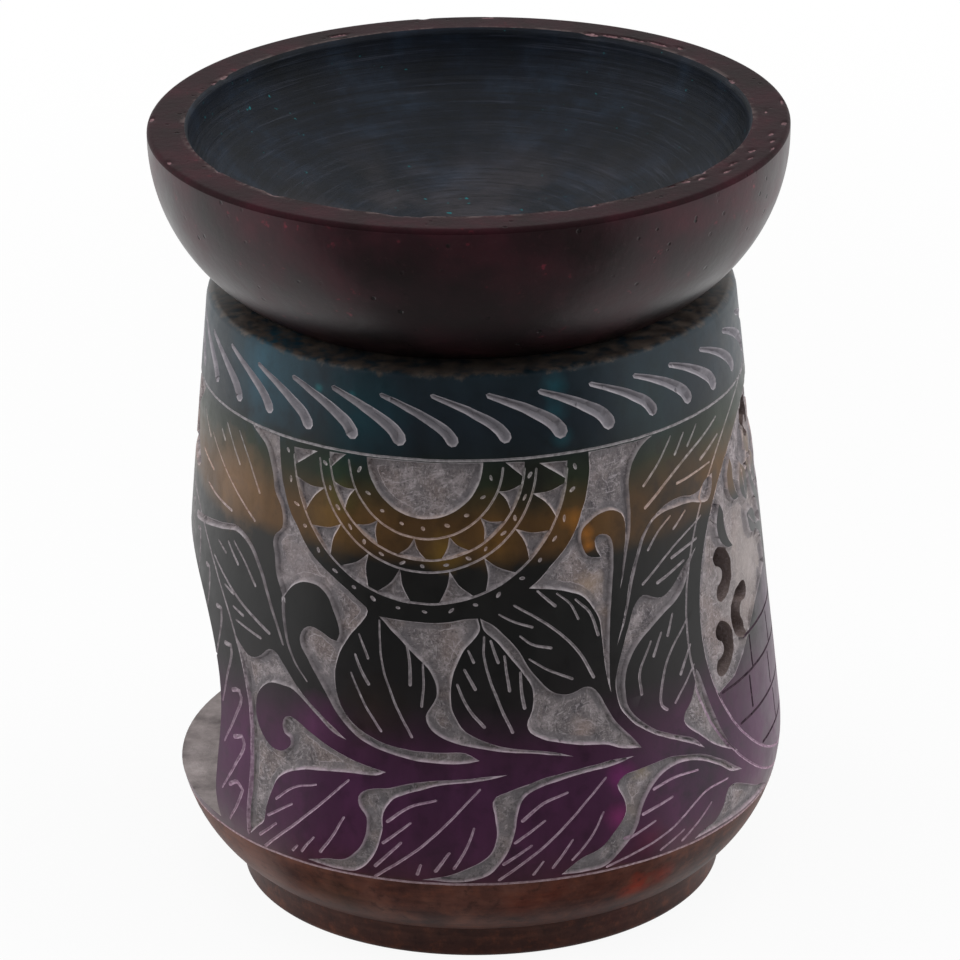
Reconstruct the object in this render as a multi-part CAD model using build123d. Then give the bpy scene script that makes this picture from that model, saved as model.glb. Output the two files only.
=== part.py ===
from build123d import *
import math
import os

# A turned and carved stone essential oil burner with a loose oil bowl and the tealight
# that heats it. Millimetres. +Z is up, the origin is the middle of the foot's underside,
# and the candle doorway opens towards -X.

# Stone body
body_height = 79.0
body_top_diameter = 65.6
top_edge_round = 1.0
belly_diameter = 77.1
belly_height = 19.0
waist_diameter = 63.8

# Foot, turned on the underside of the body
foot_height = 4.7
foot_top_diameter = 62.2
foot_bottom_diameter = 61.0
foot_edge_round = 0.8

# Candle chamber, bored from the top
sill_height = 15.0
chamber_diameter = 55.0
chamber_floor_round = 3.0
shoulder_drop = 12.0
neck_length = 6.0

# Candle doorway: straight jambs under a round head
doorway_width = 42.0
doorway_height = 33.0

# Pierced medallion opposite the doorway. Each vent is a bent slot: its place across and up
# from the medallion's middle, and the way that its back points, in degrees from +Y towards +Z
medallion_height = 42.0
medallion_radius = 24.6
vent_width = 2.5
vent_bend_radius = 2.4
vent_sweep_degrees = 150
vent_place_shares = ((-0.85, 0.18), (-0.59, -0.09), (-0.90, -0.20), (-0.19, 0.77))
vent_back_degrees = (0, 154, -5, 90)

# Oil bowl
rim_diameter = 79.1
rim_width = 5.0
rim_edge_round = 1.2
bowl_height = 21.0
bowl_depth = 16.0
well_corner_round = 10.0
bowl_seat_width = 3.5
spigot_diameter = 48.0
spigot_length = 3.0
spigot_edge_round = 0.6
bowl_clearance = 0.5

# Tealight
cup_base_diameter = 37.2
cup_mouth_diameter = 37.8
cup_height = 15.0
cup_wall = 0.4
cup_lip_width = 0.4
cup_lip_height = 0.9
wax_level = 12.6
wax_edge_round = 0.8
sustainer_diameter = 14.0
sustainer_thickness = 0.4
ferrule_diameter = 3.2
ferrule_height = 3.0
wick_diameter = 1.7
wick_exposed = 6.0
wick_tip_round = 0.4

# How far a cutting shape runs past the face that it cuts
overrun = 2.0

# Radii and levels that several pieces share
body_top_radius = body_top_diameter / 2
belly_radius = belly_diameter / 2
waist_radius = waist_diameter / 2
spigot_radius = spigot_diameter / 2
neck_radius = spigot_radius + bowl_clearance
wick_radius = wick_diameter / 2
cup_floor_level = sill_height + cup_wall
wax_top_level = sill_height + wax_level


def turned(*edges):
    """Solid of revolution about Z from a closed outline drawn as (radius, height)."""
    return revolve(Plane.XZ * make_face(edges), axis=Axis.Z)


def run(*points):
    """Straight edges through the given (radius, height) points."""
    return [Line(start, end) for start, end in zip(points, points[1:])]


def cylinder(radius, low, high):
    """Upright cylinder on the Z axis between two levels."""
    return Pos(0, 0, low) * Cylinder(radius, high - low, align=(Align.CENTER, Align.CENTER, Align.MIN))


def ring_edges(solid, level):
    """The round edges of a turned solid that lie flat at one level."""
    circles = solid.edges().filter_by(GeomType.CIRCLE)
    return circles.filter_by_position(Axis.Z, level, level)


def body_blank():
    """The turned outside: foot, rounded belly and the straight taper up to the flat top."""
    drop = belly_height - foot_height
    inset = belly_radius - waist_radius
    belly_round = (drop**2 + inset**2) / (2 * inset)
    centre_radius = belly_radius - belly_round

    # The taper is the tangent from the top edge to the belly's arc
    across = body_top_radius - centre_radius
    rise = body_height - belly_height
    lean = math.atan2(rise, across) - math.acos(belly_round / math.hypot(across, rise))
    waist_turn = -math.atan2(drop, waist_radius - centre_radius)
    belly_arc = CenterArc(
        (centre_radius, belly_height), belly_round, math.degrees(lean), math.degrees(waist_turn - lean)
    )
    taper_start = (
        centre_radius + belly_round * math.cos(lean),
        belly_height + belly_round * math.sin(lean),
    )
    foot_and_waist = run(
        (0, 0),
        (foot_bottom_diameter / 2, 0),
        (foot_top_diameter / 2, foot_height),
        (waist_radius, foot_height),
    )
    taper_and_top = run(taper_start, (body_top_radius, body_height), (0, body_height), (0, 0))
    blank = turned(*foot_and_waist, belly_arc, *taper_and_top)
    blank = fillet(ring_edges(blank, body_height), top_edge_round)
    return fillet(ring_edges(blank, 0), foot_edge_round)


def chamber():
    """The bored space: round-cornered floor, straight wall, cone and the neck for the bowl."""
    wall = chamber_diameter / 2
    space = turned(
        *run(
            (0, sill_height),
            (wall, sill_height),
            (wall, body_height - shoulder_drop),
            (neck_radius, body_height - neck_length),
            (neck_radius, body_height + overrun),
            (0, body_height + overrun),
            (0, sill_height),
        )
    )
    return fillet(ring_edges(space, sill_height), chamber_floor_round)


def doorway():
    """Round-headed cutter from the axis out through the -X side, level with the chamber floor."""
    head_radius = doorway_width / 2
    spring_level = sill_height + doorway_height - head_radius
    head = CenterArc((0, spring_level), head_radius, 0, 180)
    sill_and_jambs = run(
        (-head_radius, spring_level),
        (-head_radius, sill_height),
        (head_radius, sill_height),
        (head_radius, spring_level),
    )
    arch = make_face([head, *sill_and_jambs])
    return extrude(Plane.YZ * arch, amount=-(belly_radius + overrun))


def vent(across, up, back):
    """One bent slot, cut square through the wall towards the axis."""
    bearing = math.degrees(across / belly_radius)
    inner = chamber_diameter / 2 - overrun
    face = Plane((0, 0, medallion_height + up), x_dir=(0, 1, 0), z_dir=(1, 0, 0)).offset(inner)
    bend = CenterArc((0, 0), vent_bend_radius, back - vent_sweep_degrees / 2, vent_sweep_degrees)
    cutter = extrude(face * SlotArc(bend, vent_width), amount=belly_radius + overrun - inner)
    return Rot(0, 0, bearing) * cutter


def vents():
    """All vents: the places on one side of the medallion, and their mirror images."""
    cutters = []
    for (across_share, up_share), back in zip(vent_place_shares, vent_back_degrees):
        across = across_share * medallion_radius
        up = up_share * medallion_radius
        cutters.append(vent(across, up, back))
        cutters.append(vent(-across, up, 180 - back))
    return cutters


def burner_body():
    return body_blank() - chamber() - doorway() - vents()


def bowl_well(radius, rim_level):
    """Outline of the well from the rim to the axis: a rounded wall tangent to a shallow dish."""
    corner_centre = radius - well_corner_round
    spare_depth = bowl_depth - well_corner_round
    dish_radius = (corner_centre**2 + bowl_depth**2 - well_corner_round**2) / (2 * spare_depth)
    dish_rise = dish_radius - bowl_depth
    turn = math.degrees(math.atan2(dish_rise, corner_centre))
    corner = CenterArc((corner_centre, rim_level), well_corner_round, 0, -turn)
    dish = CenterArc((0, rim_level + dish_rise), dish_radius, -turn, turn - 90)
    return [corner, dish]


def oil_bowl():
    """Bowl with a flat rim, a round-cornered well, a flat seat and a spigot in the body's neck."""
    rim_radius = rim_diameter / 2
    rim_level = body_height + bowl_height
    well_radius = rim_radius - rim_width
    under_level = body_height - spigot_length
    seat_radius = spigot_radius + bowl_seat_width
    side_top = (rim_radius, rim_level - rim_edge_round)
    rim_corner = CenterArc((rim_radius - rim_edge_round, rim_level - rim_edge_round), rim_edge_round, 0, 90)
    side = TangentArc(side_top, (seat_radius, body_height), tangent=(0, -1))
    foot = run(
        (0, under_level),
        (spigot_radius, under_level),
        (spigot_radius, body_height),
        (seat_radius, body_height),
    )
    rim = run((rim_radius - rim_edge_round, rim_level), (well_radius, rim_level))
    axis = run((0, rim_level - bowl_depth), (0, under_level))
    bowl = turned(*foot, side, rim_corner, *rim, *bowl_well(well_radius, rim_level), *axis)
    return fillet(ring_edges(bowl, under_level), spigot_edge_round)


def tealight_cup():
    """Thin aluminium cup with a slight taper and a folded lip."""
    base_radius = cup_base_diameter / 2
    mouth_radius = cup_mouth_diameter / 2
    top = sill_height + cup_height
    lip_bottom = top - cup_lip_height
    return turned(
        *run(
            (0, sill_height),
            (base_radius, sill_height),
            (mouth_radius, lip_bottom),
            (mouth_radius + cup_lip_width, lip_bottom),
            (mouth_radius + cup_lip_width, top),
            (mouth_radius - cup_wall, top),
            (base_radius - cup_wall, cup_floor_level),
            (0, cup_floor_level),
            (0, sill_height),
        )
    )


def wick_sustainer():
    """Tin disc on the cup's floor with the ferrule that grips the wick."""
    disc_top = cup_floor_level + sustainer_thickness
    disc = cylinder(sustainer_diameter / 2, cup_floor_level, disc_top)
    ferrule = cylinder(ferrule_diameter / 2, disc_top, disc_top + ferrule_height)
    wick_hole = cylinder(wick_radius, cup_floor_level - overrun, disc_top + ferrule_height + overrun)
    return disc + ferrule - wick_hole


def tealight_wick():
    tip = wax_top_level + wick_exposed
    wick = cylinder(wick_radius, cup_floor_level, tip)
    return fillet(ring_edges(wick, tip), wick_tip_round)


def tealight_wax():
    """Wax that fills the cup round the sustainer and the wick, with a rounded top edge."""
    inner_base = cup_base_diameter / 2 - cup_wall
    inner_mouth = cup_mouth_diameter / 2 - cup_wall
    spread_share = (wax_level - cup_wall) / (cup_height - cup_wall)
    surface_radius = inner_base + (inner_mouth - inner_base) * spread_share
    fill = turned(
        *run(
            (0, cup_floor_level),
            (inner_base, cup_floor_level),
            (surface_radius, wax_top_level),
            (0, wax_top_level),
            (0, cup_floor_level),
        )
    )
    fill = fillet(ring_edges(fill, wax_top_level), wax_edge_round)
    return fill - wick_sustainer() - tealight_wick()


pieces = {
    "burner_body": burner_body,
    "oil_bowl": oil_bowl,
    "tealight_cup": tealight_cup,
    "tealight_wax": tealight_wax,
    "wick_sustainer": wick_sustainer,
    "tealight_wick": tealight_wick,
}

os.makedirs("parts", exist_ok=True)
for name, make in pieces.items():
    export_step(make(), f"parts/{name}.step")
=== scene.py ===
import math
import random

import bmesh
import bpy
import numpy as np
from mathutils import Matrix, Vector, kdtree, noise
from mathutils.geometry import delaunay_2d_cdt


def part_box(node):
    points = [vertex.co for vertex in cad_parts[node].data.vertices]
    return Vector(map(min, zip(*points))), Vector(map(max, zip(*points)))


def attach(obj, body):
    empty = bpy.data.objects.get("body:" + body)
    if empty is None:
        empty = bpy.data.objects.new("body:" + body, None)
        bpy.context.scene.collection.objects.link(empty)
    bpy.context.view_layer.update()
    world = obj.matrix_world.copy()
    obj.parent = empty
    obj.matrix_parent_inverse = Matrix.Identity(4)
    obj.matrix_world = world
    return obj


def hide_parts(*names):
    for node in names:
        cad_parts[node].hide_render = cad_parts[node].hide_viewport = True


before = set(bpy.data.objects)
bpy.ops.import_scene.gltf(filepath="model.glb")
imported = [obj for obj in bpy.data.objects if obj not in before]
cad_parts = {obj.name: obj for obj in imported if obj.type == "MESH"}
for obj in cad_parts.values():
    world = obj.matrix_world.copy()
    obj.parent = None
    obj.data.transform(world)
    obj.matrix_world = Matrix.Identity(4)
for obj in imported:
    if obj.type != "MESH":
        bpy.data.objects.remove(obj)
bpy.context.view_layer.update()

# Lengths below are in millimetres and angles in degrees; new_object scales a mesh to metres
MM = 0.001

# The turned body, as the part has it
body_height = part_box("burner_body")[1][2] / MM
body_top_radius = 32.8
top_edge_round = 1.0
belly_radius = 38.55
belly_height = 19.0
waist_radius = 31.9
foot_height = 4.7
foot_top_radius = 31.1
foot_bottom_radius = 30.5
foot_edge_round = 0.8

# The space inside the body and its openings
sill_height = 15.0
chamber_radius = 27.5
chamber_floor_round = 3.0
shoulder_drop = 12.0
neck_length = 6.0
neck_radius = 24.5
doorway_width = 42.0
doorway_height = 33.0
medallion_height = 42.0
medallion_radius = 24.6
vent_width = 2.5
vent_bend_radius = 2.4
vent_sweep = 150.0
vent_place_shares = ((-0.85, 0.18), (-0.59, -0.09), (-0.90, -0.20), (-0.19, 0.77))
vent_backs = (0.0, 154.0, -5.0, 90.0)
overrun = 2.0

# The bowl
rim_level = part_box("oil_bowl")[1][2] / MM
rim_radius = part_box("oil_bowl")[1][0] / MM
rim_width = 5.0
rim_edge_round = 0.6
side_drop = 1.2
bowl_depth = 16.0
well_corner_round = 10.0
bowl_seat_radius = 27.5
spigot_radius = 24.0
spigot_length = 3.0
spigot_edge = 0.6

# Where the pattern lies: the flat plan has this many millimetres to a degree round the body
plan_scale = 0.63
plan_low = 11.5
plan_high = 77.6
seam_angle = -90.0
ring_count = 240
low_border = 13.8
high_border = 68.4
photo_turn = 2.0

# How deep the carver cut
ground_depth = 0.5
ground_slope = 0.38
groove_slope = 0.75
groove_reach = 1.0
wear_reach = 1.6
tool_mark_depth = 0.16
tool_mark_scale = 0.9
paint_wave_depth = 0.04
paint_wave_scale = 0.12
edge_fade = 2.0

# How far apart the points of the carving lie, and the turn in radians that keeps a corner sharp
sharp_turn = 1.25
ground_pitch = 0.85
ground_jitter = 0.3
sheet_pitch = 1.7
seam_rows = 66

# Widths of the scratched lines
ring_line_width = 0.3
rib_width = 0.32
border_width = 0.34
joint_width = 0.42
comma_width = 0.6

# The kinds of surface on the body, in the order of its materials
PAINT = 0
GROUND = 1
CUT = 2
BORED = 3
FOOT = 4
JOINT = 5

# Degrees of the body across one cell of its texture map, with room past the strip's 120
strip_turn = 128.0

# The same chance marks on every run
draw = random.Random(11)
noise.seed_set(11)


# Surface of the turned body

belly_drop = belly_height - foot_height
belly_inset = belly_radius - waist_radius
belly_round = (belly_drop**2 + belly_inset**2) / (2 * belly_inset)
belly_centre = belly_radius - belly_round
taper_across = body_top_radius - belly_centre
taper_rise = body_height - belly_height
taper_lean = math.atan2(taper_rise, taper_across) - math.acos(
    belly_round / math.hypot(taper_across, taper_rise)
)
taper_level = belly_height + belly_round * math.sin(taper_lean)
taper_radius = belly_centre + belly_round * math.cos(taper_lean)


def body_radius(z):
    """Radius of the turned outside above the waist."""
    if z < taper_level:
        return belly_centre + math.sqrt(belly_round**2 - (z - belly_height) ** 2)
    share = (z - taper_level) / (body_height - taper_level)
    return taper_radius + (body_top_radius - taper_radius) * share


def on_body(angle, z, depth=0.0):
    """Point on the body; the angle runs from the front towards +X."""
    radius = body_radius(z) - depth
    turn = math.radians(angle)
    return (radius * math.sin(turn), -radius * math.cos(turn), z)


# Curves in the flat plan

def smooth_line(points, closed, step):
    """Points about one step apart on a curve through the given ones; sharp turns stay sharp."""
    places = [Vector(p) for p in points]
    count = len(places)
    turns = []
    for i, here in enumerate(places):
        if not closed and i in (0, count - 1):
            turns.append(None)
            continue
        before = here - places[i - 1]
        after = places[(i + 1) % count] - here
        sharp = before.length * after.length == 0 or before.angle(after) > sharp_turn
        turns.append(None if sharp else (before.normalized() + after.normalized()).normalized())
    line = []
    for i in range(count if closed else count - 1):
        start = places[i]
        end = places[(i + 1) % count]
        span = end - start
        leave = (turns[i] or span.normalized()) * span.length
        arrive = (turns[(i + 1) % count] or span.normalized()) * span.length
        pieces = max(1, round(span.length / step))
        for k in range(pieces):
            t = k / pieces
            line.append(
                start * (2 * t**3 - 3 * t**2 + 1)
                + leave * (t**3 - 2 * t**2 + t)
                + end * (3 * t**2 - 2 * t**3)
                + arrive * (t**3 - t**2)
            )
    if not closed:
        line.append(places[-1])
    return line


def grain(point, scale):
    """Smooth noise in the plan that is the same on both sides of the seam."""
    turn = math.radians(point.x / plan_scale)
    place = Vector((math.sin(turn), math.cos(turn), point.y / belly_radius)) * belly_radius
    return noise.noise_vector(place * scale)


def hand_cut(point, amount=0.07):
    """The point moved a little, as a hand-held tool would; the two sides meet unmoved at the seam."""
    from_seam = abs((point.x / plan_scale - seam_angle + 180) % 360 - 180)
    drift = grain(point, 0.55)
    return point + Vector((drift.x, drift.y)) * amount * min(1.0, max(0.0, from_seam - 2) / 8)


class Plan:
    """The carving laid flat: areas, grooves and loose points that become one triangulated sheet."""

    def __init__(self):
        self.points = []
        self.areas = []
        self.kinds = []
        self.edge_points = []
        self.grooves = []

    def area(self, kind, outline, edged=True):
        """Adds a closed outline of one kind; later areas lie over earlier ones."""
        size = sum(a.x * b.y - b.x * a.y for a, b in zip(outline, outline[1:] + outline[:1]))
        if size < 0:
            outline = outline[::-1]
        first = len(self.points)
        self.points.extend(outline)
        self.areas.append(list(range(first, len(self.points))))
        self.kinds.append(kind)
        if edged:
            self.edge_points.extend(outline)

    def island(self, points, kind=GROUND, step=0.55):
        """A smooth closed area, with loose points inside it to carry its slopes and tool marks."""
        outline = [hand_cut(p) for p in smooth_line(points, True, step)]
        self.area(kind, outline)
        if kind != GROUND:
            return
        corners = np.array(outline)
        low = corners.min(0)
        high = corners.max(0)
        ends = np.roll(corners, -1, axis=0)
        for x in np.arange(low[0], high[0], ground_pitch):
            for y in np.arange(low[1], high[1], ground_pitch):
                px = x + draw.uniform(-ground_jitter, ground_jitter)
                py = y + draw.uniform(-ground_jitter, ground_jitter)
                if inside(px, py, corners, ends):
                    self.points.append(Vector((px, py)))
        normals = np.stack([corners[:, 1] - ends[:, 1], ends[:, 0] - corners[:, 0]], 1)
        if (corners[:, 0] * ends[:, 1] - ends[:, 0] * corners[:, 1]).sum() < 0:
            normals = -normals
        normals = normals / np.maximum(np.hypot(*normals.T), 1e-9)[:, None]
        for share in (0.5, 1.0):
            for p, n in zip(corners, normals):
                q = p + n * ground_slope * share
                if inside(q[0], q[1], corners, ends):
                    gap = np.hypot(*(corners - q).T).min()
                    if gap > ground_slope * share * 0.85:
                        self.points.append(Vector(q))

    def stroke(self, points, width, thin=0.5, kind=CUT, step=0.6):
        """A cut along a curve that widens from a thin start to a round end."""
        line = [hand_cut(p, 0.05) for p in smooth_line(points, False, step)]
        if len(line) < 3:
            line = [line[0], (line[0] + line[-1]) / 2, line[-1]]
        last = len(line) - 1
        left = []
        right = []
        for i, p in enumerate(line):
            along = (line[min(i + 1, last)] - line[max(i - 1, 0)]).normalized()
            half = width / 2 * (thin + (1 - thin) * i / last)
            side = Vector((-along.y, along.x)) * half
            if kind != GROUND:
                self.grooves.append((p, half))
            self.points.append(p)
            left.append(p + side)
            right.append(p - side)
            if i == 0:
                left.insert(0, p - along * half)
            if i == last:
                left += [p + side * math.cos(a) + along * half * math.sin(a) for a in (0.8, 1.57, 2.34)]
        self.area(kind, left + right[::-1], kind == GROUND)

    def dot(self, centre, width, length, lean):
        """A small punch mark, longer one way than the other."""
        along = Vector((math.cos(math.radians(lean)), math.sin(math.radians(lean)))) * length / 2
        side = Vector((-along.y, along.x)).normalized() * width / 2
        turns = [i * math.pi / 4 for i in range(8)]
        self.points.append(centre)
        self.grooves.append((centre, width / 2))
        self.area(CUT, [centre + along * math.cos(a) + side * math.sin(a) for a in turns], False)


def inside(x, y, corners, ends):
    """Whether a point lies in a closed outline."""
    spans = (corners[:, 1] > y) != (ends[:, 1] > y)
    rise = np.where(spans, ends[:, 1] - corners[:, 1], 1.0)
    cross = corners[:, 0] + (y - corners[:, 1]) * (ends[:, 0] - corners[:, 0]) / rise
    return np.count_nonzero(spans & (cross > x)) % 2 == 1


# The carved field, as (angle seen in the photo, height) on the side towards the camera

bare_islands = [
    # Left of the mandala, round the hooked tendril and under the first hanging leaf
    [(-52.6, 68.2), (-50, 67.2), (-48.2, 66.6), (-46.6, 65), (-45.4, 63), (-44.6, 61), (-42.9, 59.5),
     (-42.2, 58.2), (-42.3, 56.8), (-44.2, 55.5), (-44.6, 54.5), (-44, 53), (-43.5, 51), (-42.3, 49.2),
     (-41.2, 47.8), (-40.2, 48.9), (-38.3, 50.1), (-36.3, 50.7), (-34.7, 50.8), (-32.5, 50.6),
     (-30.7, 49.8), (-29.3, 48.2), (-28.2, 46.5), (-27.7, 45.2), (-28.2, 44.2), (-29.4, 44.3),
     (-31.5, 44.9), (-33.5, 45.3), (-35.1, 45.1), (-36.3, 44.3), (-36.7, 43.2), (-36.2, 42.2),
     (-35, 41.3), (-33.5, 40), (-31.1, 38), (-29.5, 36.5), (-27.9, 35), (-25.9, 33.7), (-23.6, 32.5),
     (-20.4, 31.5), (-17.2, 30.9), (-14, 30.4), (-7.4, 30), (-2.2, 30.1), (0, 30.4), (-2.6, 31.4),
     (-6.2, 31.4), (-10.2, 31.4), (-14.1, 31.6), (-18.1, 32.1), (-22.3, 33.2), (-25.1, 34.5),
     (-27.1, 36.2), (-28.1, 38), (-28.4, 40), (-28, 41.8), (-26.6, 44), (-24.4, 46), (-22.5, 47.5),
     (-21.7, 48.7), (-24.4, 50.2), (-28.7, 52), (-32.3, 53.5), (-35.5, 55.2), (-38.3, 57.5),
     (-40.7, 59.7), (-42.6, 62.7), (-43.6, 65.7), (-44, 68.2)],
    # Round the curled tendril beside the doorway
    [(-55, 40.5), (-52.1, 39.2), (-49.3, 38.7), (-46.6, 39.5), (-44.6, 40.6), (-42.6, 40.6),
     (-40.6, 39.5), (-37.9, 37.7), (-34.3, 35.7), (-29.9, 33.7), (-25.7, 31.75), (-28.3, 32.3),
     (-32.3, 34.2), (-36.3, 36), (-38.6, 36.7), (-40.2, 36.7), (-43.4, 36.5), (-45.8, 35.5),
     (-47.2, 34.2), (-47.4, 32.5), (-46.6, 30.7), (-45, 29.2), (-42.6, 28.2), (-40.6, 28.1),
     (-39, 28.6), (-38, 29.3), (-38.2, 30.2), (-39.6, 30.6), (-40.2, 31.7), (-39.6, 32.7),
     (-38.2, 33), (-36.3, 32.6), (-33.1, 31.6), (-29.9, 30.6), (-26.3, 29.7), (-22.4, 29),
     (-17.6, 28.4), (-19.6, 27.8), (-24.3, 27.6), (-29.9, 27.2), (-34.3, 26.7), (-38.2, 25.7),
     (-40.6, 24.5), (-42.2, 22.5), (-43.4, 20.2), (-44.2, 18), (-46, 16.8), (-49.3, 14.8), (-49, 17),
     (-48.4, 20), (-48, 24.5), (-48.2, 28), (-48.6, 30), (-49.3, 32.5), (-50.5, 35), (-52.9, 38.5)],
    # Between the two hanging leaves
    [(-19.3, 48.2), (-14.1, 48), (-10.2, 47.9), (-5.4, 48.1), (-2.2, 48.5), (0.1, 48.6), (0.5, 47.1),
     (-1, 45.7), (-2.6, 44.5), (-3.8, 43), (-4.6, 41.7), (-5.1, 40.3), (-5.2, 38.5), (-5, 37),
     (-4.2, 35.7), (-2.6, 34.2), (-0.6, 33.4), (1.7, 32.7), (4.9, 32), (9.7, 31.4), (13.7, 30.9),
     (17.8, 30), (13.7, 30.5), (9.7, 31), (3.7, 31.5), (-0.2, 32), (-4.2, 32.6), (-7.4, 33.5),
     (-9.4, 34.7), (-10, 36), (-9, 37.3), (-8, 38.5), (-8, 40), (-8.5, 41), (-9.8, 42.3),
     (-12.1, 43.7), (-14.5, 45.2), (-16.9, 46.7)],
    # Between the second hanging leaf and the slanting leaf
    [(0.6, 48.6), (2.9, 47.7), (5.7, 46), (8.1, 44), (10.1, 41.7), (12.5, 39.7), (14.4, 38.5),
     (16.8, 38), (18.2, 38.1), (20.6, 38.6), (22.1, 38.4), (23.7, 37.2), (24.9, 35.5), (26.1, 34),
     (28.5, 32), (30.9, 30.2), (31.9, 29.2), (26.9, 30), (25, 30.6), (20, 31.2), (15.6, 31.9),
     (12.1, 32.7), (9.7, 33.7), (9.1, 34.7), (10.1, 36.4), (10.5, 38.2), (10.1, 39.7), (8.1, 41.8),
     (6.1, 43.5), (3.7, 45.5), (1.3, 47)],
    # Right of the mandala, round the second hooked tendril
    [(24, 68.1), (39.6, 68.1), (37.2, 67.5), (34.8, 66.2), (33.6, 65), (32.9, 63.5), (32.8, 61.2),
     (32.7, 58.7), (32.2, 56.5), (31.3, 54.5), (30.3, 52), (29.3, 50.1), (30.6, 54.5), (31.2, 56.7),
     (31.3, 58.3), (30.6, 59.5), (28.9, 60.2), (27, 60.3), (25, 60), (23.5, 59.4), (21.9, 58.6),
     (21.4, 57.5), (21.7, 56.2), (22.6, 55.2), (24, 54.8), (25.4, 54.7), (24.6, 55.6), (24.3, 56.8),
     (24.6, 57.3), (26.1, 57.5), (27.7, 57), (28.3, 55.5), (28.1, 53.5), (27.5, 50.5), (27, 48),
     (26.6, 46), (26.2, 42.5), (25.9, 39), (26.1, 37.2), (25.4, 39), (24.9, 42), (24.7, 44.5),
     (24.3, 47), (22.9, 48.7), (21, 50.2), (18.2, 51), (15, 51.6), (10.3, 52), (13, 53.4),
     (15, 54.7), (17.4, 56.2), (19.8, 58.2), (21.7, 60.7), (23.1, 63.2), (23.9, 65.7)],
    # Between the two leaves beside the medallion
    [(57, 60), (54, 59.6), (52.3, 58.9), (49.9, 58.7), (46.7, 59.1), (43.6, 59.2), (40.4, 58.6),
     (37.6, 57.6), (35.2, 56.1), (33.3, 53.6), (31.7, 51.1), (30.5, 48.3), (29.3, 45.6), (27.9, 43),
     (30, 46), (31.4, 48.8), (32.8, 51.6), (34.5, 54.2), (36.2, 56.2), (38.6, 57.6), (41.5, 58.1),
     (45, 58.1), (49, 57.9), (52, 57.3), (54.5, 57), (56.5, 58.2)],
    # Under the lower of those leaves and down the stem
    [(49.5, 52), (45.2, 50.2), (42, 48.4), (38.8, 47.5), (36.4, 48.1), (34.4, 48.5), (32.5, 47.7),
     (31.3, 46.2), (30.1, 44.3), (28.9, 42.3), (27.7, 40.2), (27.1, 38), (27.9, 35), (29.7, 33.2),
     (32.1, 31.7), (35.6, 30.2), (40, 28.7), (44.4, 27.2), (47.3, 26.1), (44.4, 28), (39.6, 29.5),
     (34.8, 31.2), (31.7, 33), (29.7, 34.7), (29.1, 37), (29.5, 39.3), (31, 41.3), (32.5, 42.5),
     (35.6, 44), (39.6, 45.5), (42.8, 46.5), (45.6, 48.2), (46.7, 49.8)],
    # The gaps between the leaves of the lowest row, from left to right
    [(-23, 24.7), (-22.1, 25.5), (-20.1, 26), (-16.9, 26.4), (-14.1, 27), (-10.2, 27.6), (-4.2, 28),
     (1.7, 28.3), (5.1, 28.5), (1.7, 27.9), (-4.2, 27.5), (-8.6, 27), (-11, 26.4), (-14.1, 25.7),
     (-16.1, 25), (-17.3, 24), (-18.1, 23), (-18.3, 20.7), (-19.3, 18.2), (-21.3, 16), (-24, 14.5),
     (-28, 14.2), (-34.3, 14.5), (-29.9, 15.4), (-25.9, 16), (-24, 17), (-22.4, 18.5), (-21.4, 20.5),
     (-21.4, 22.2), (-22.8, 23.5)],
    [(2.3, 25), (2.9, 25.7), (4.9, 26.2), (8.1, 26.9), (11.7, 27.6), (15.6, 28), (21.6, 28.4),
     (26.1, 28.6), (30.1, 28.4), (24.9, 27.8), (21.6, 27.7), (15.6, 27.2), (11.7, 26.6), (9.3, 26),
     (7.7, 25), (6.9, 23.5), (6.3, 21.2), (5.3, 19), (3.7, 17), (1.3, 15.2), (-2.2, 14.3),
     (-11, 14.3), (-6.2, 15.1), (-2.2, 16.4), (0.6, 17.5), (2.1, 18.7), (2.9, 20.5), (2.7, 23)],
    [(26.3, 25.2), (27.7, 26.2), (30.9, 26.5), (34.8, 26.7), (38.8, 26.8), (42.8, 26.2), (46.7, 25.4),
     (50.7, 24), (54.7, 22.2), (58.3, 20.5), (54.7, 21.2), (50.7, 23), (46.7, 24.5), (42.8, 25.4),
     (40, 25.6), (36.4, 25.1), (34, 24), (32.1, 22.5), (30.9, 21), (30.1, 19.5), (28.5, 17.7),
     (26.1, 16), (23.7, 14.6), (19, 14.3), (15, 14.4), (19, 16.5), (22.5, 17.4), (24.9, 19),
     (26.5, 20.2), (27.7, 21.5), (27.7, 22.7), (26.9, 24)],
    [(44.4, 14.3), (46.3, 15), (49.9, 15.5), (51.9, 17), (53.5, 19.2), (54.7, 19.4), (58.6, 18.5),
     (64.6, 16.5), (70.6, 15), (72, 14.3)],
    # Between the stem and the medallion
    [(46.5, 36.7), (46, 34.7), (44.4, 32.7), (42.8, 31.7), (42.4, 30.7), (43.6, 29.5), (46.3, 28),
     (49.5, 26.2), (53.1, 24.7), (57.5, 23.2), (54.7, 25), (52.3, 27.7), (50.3, 30.7), (48.7, 33.5),
     (47.1, 36.2)],
    # Over the doorway, to just past the middle of it
    [(-100, 68.1), (-77, 68.1), (-79.5, 66.6), (-83.5, 64.3), (-81.5, 61.2), (-77, 58), (-79.5, 57),
     (-86, 57.2), (-98, 57.2), (-102.5, 59), (-103, 62)],
]

over_door_leaf = [
    (-92, 66.4), (-90, 64.4), (-88.6, 62), (-89.2, 60.2), (-90.6, 59), (-92, 58.6),
    (-93.4, 59), (-94.8, 60.2), (-95.4, 62), (-94, 64.4),
]

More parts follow.
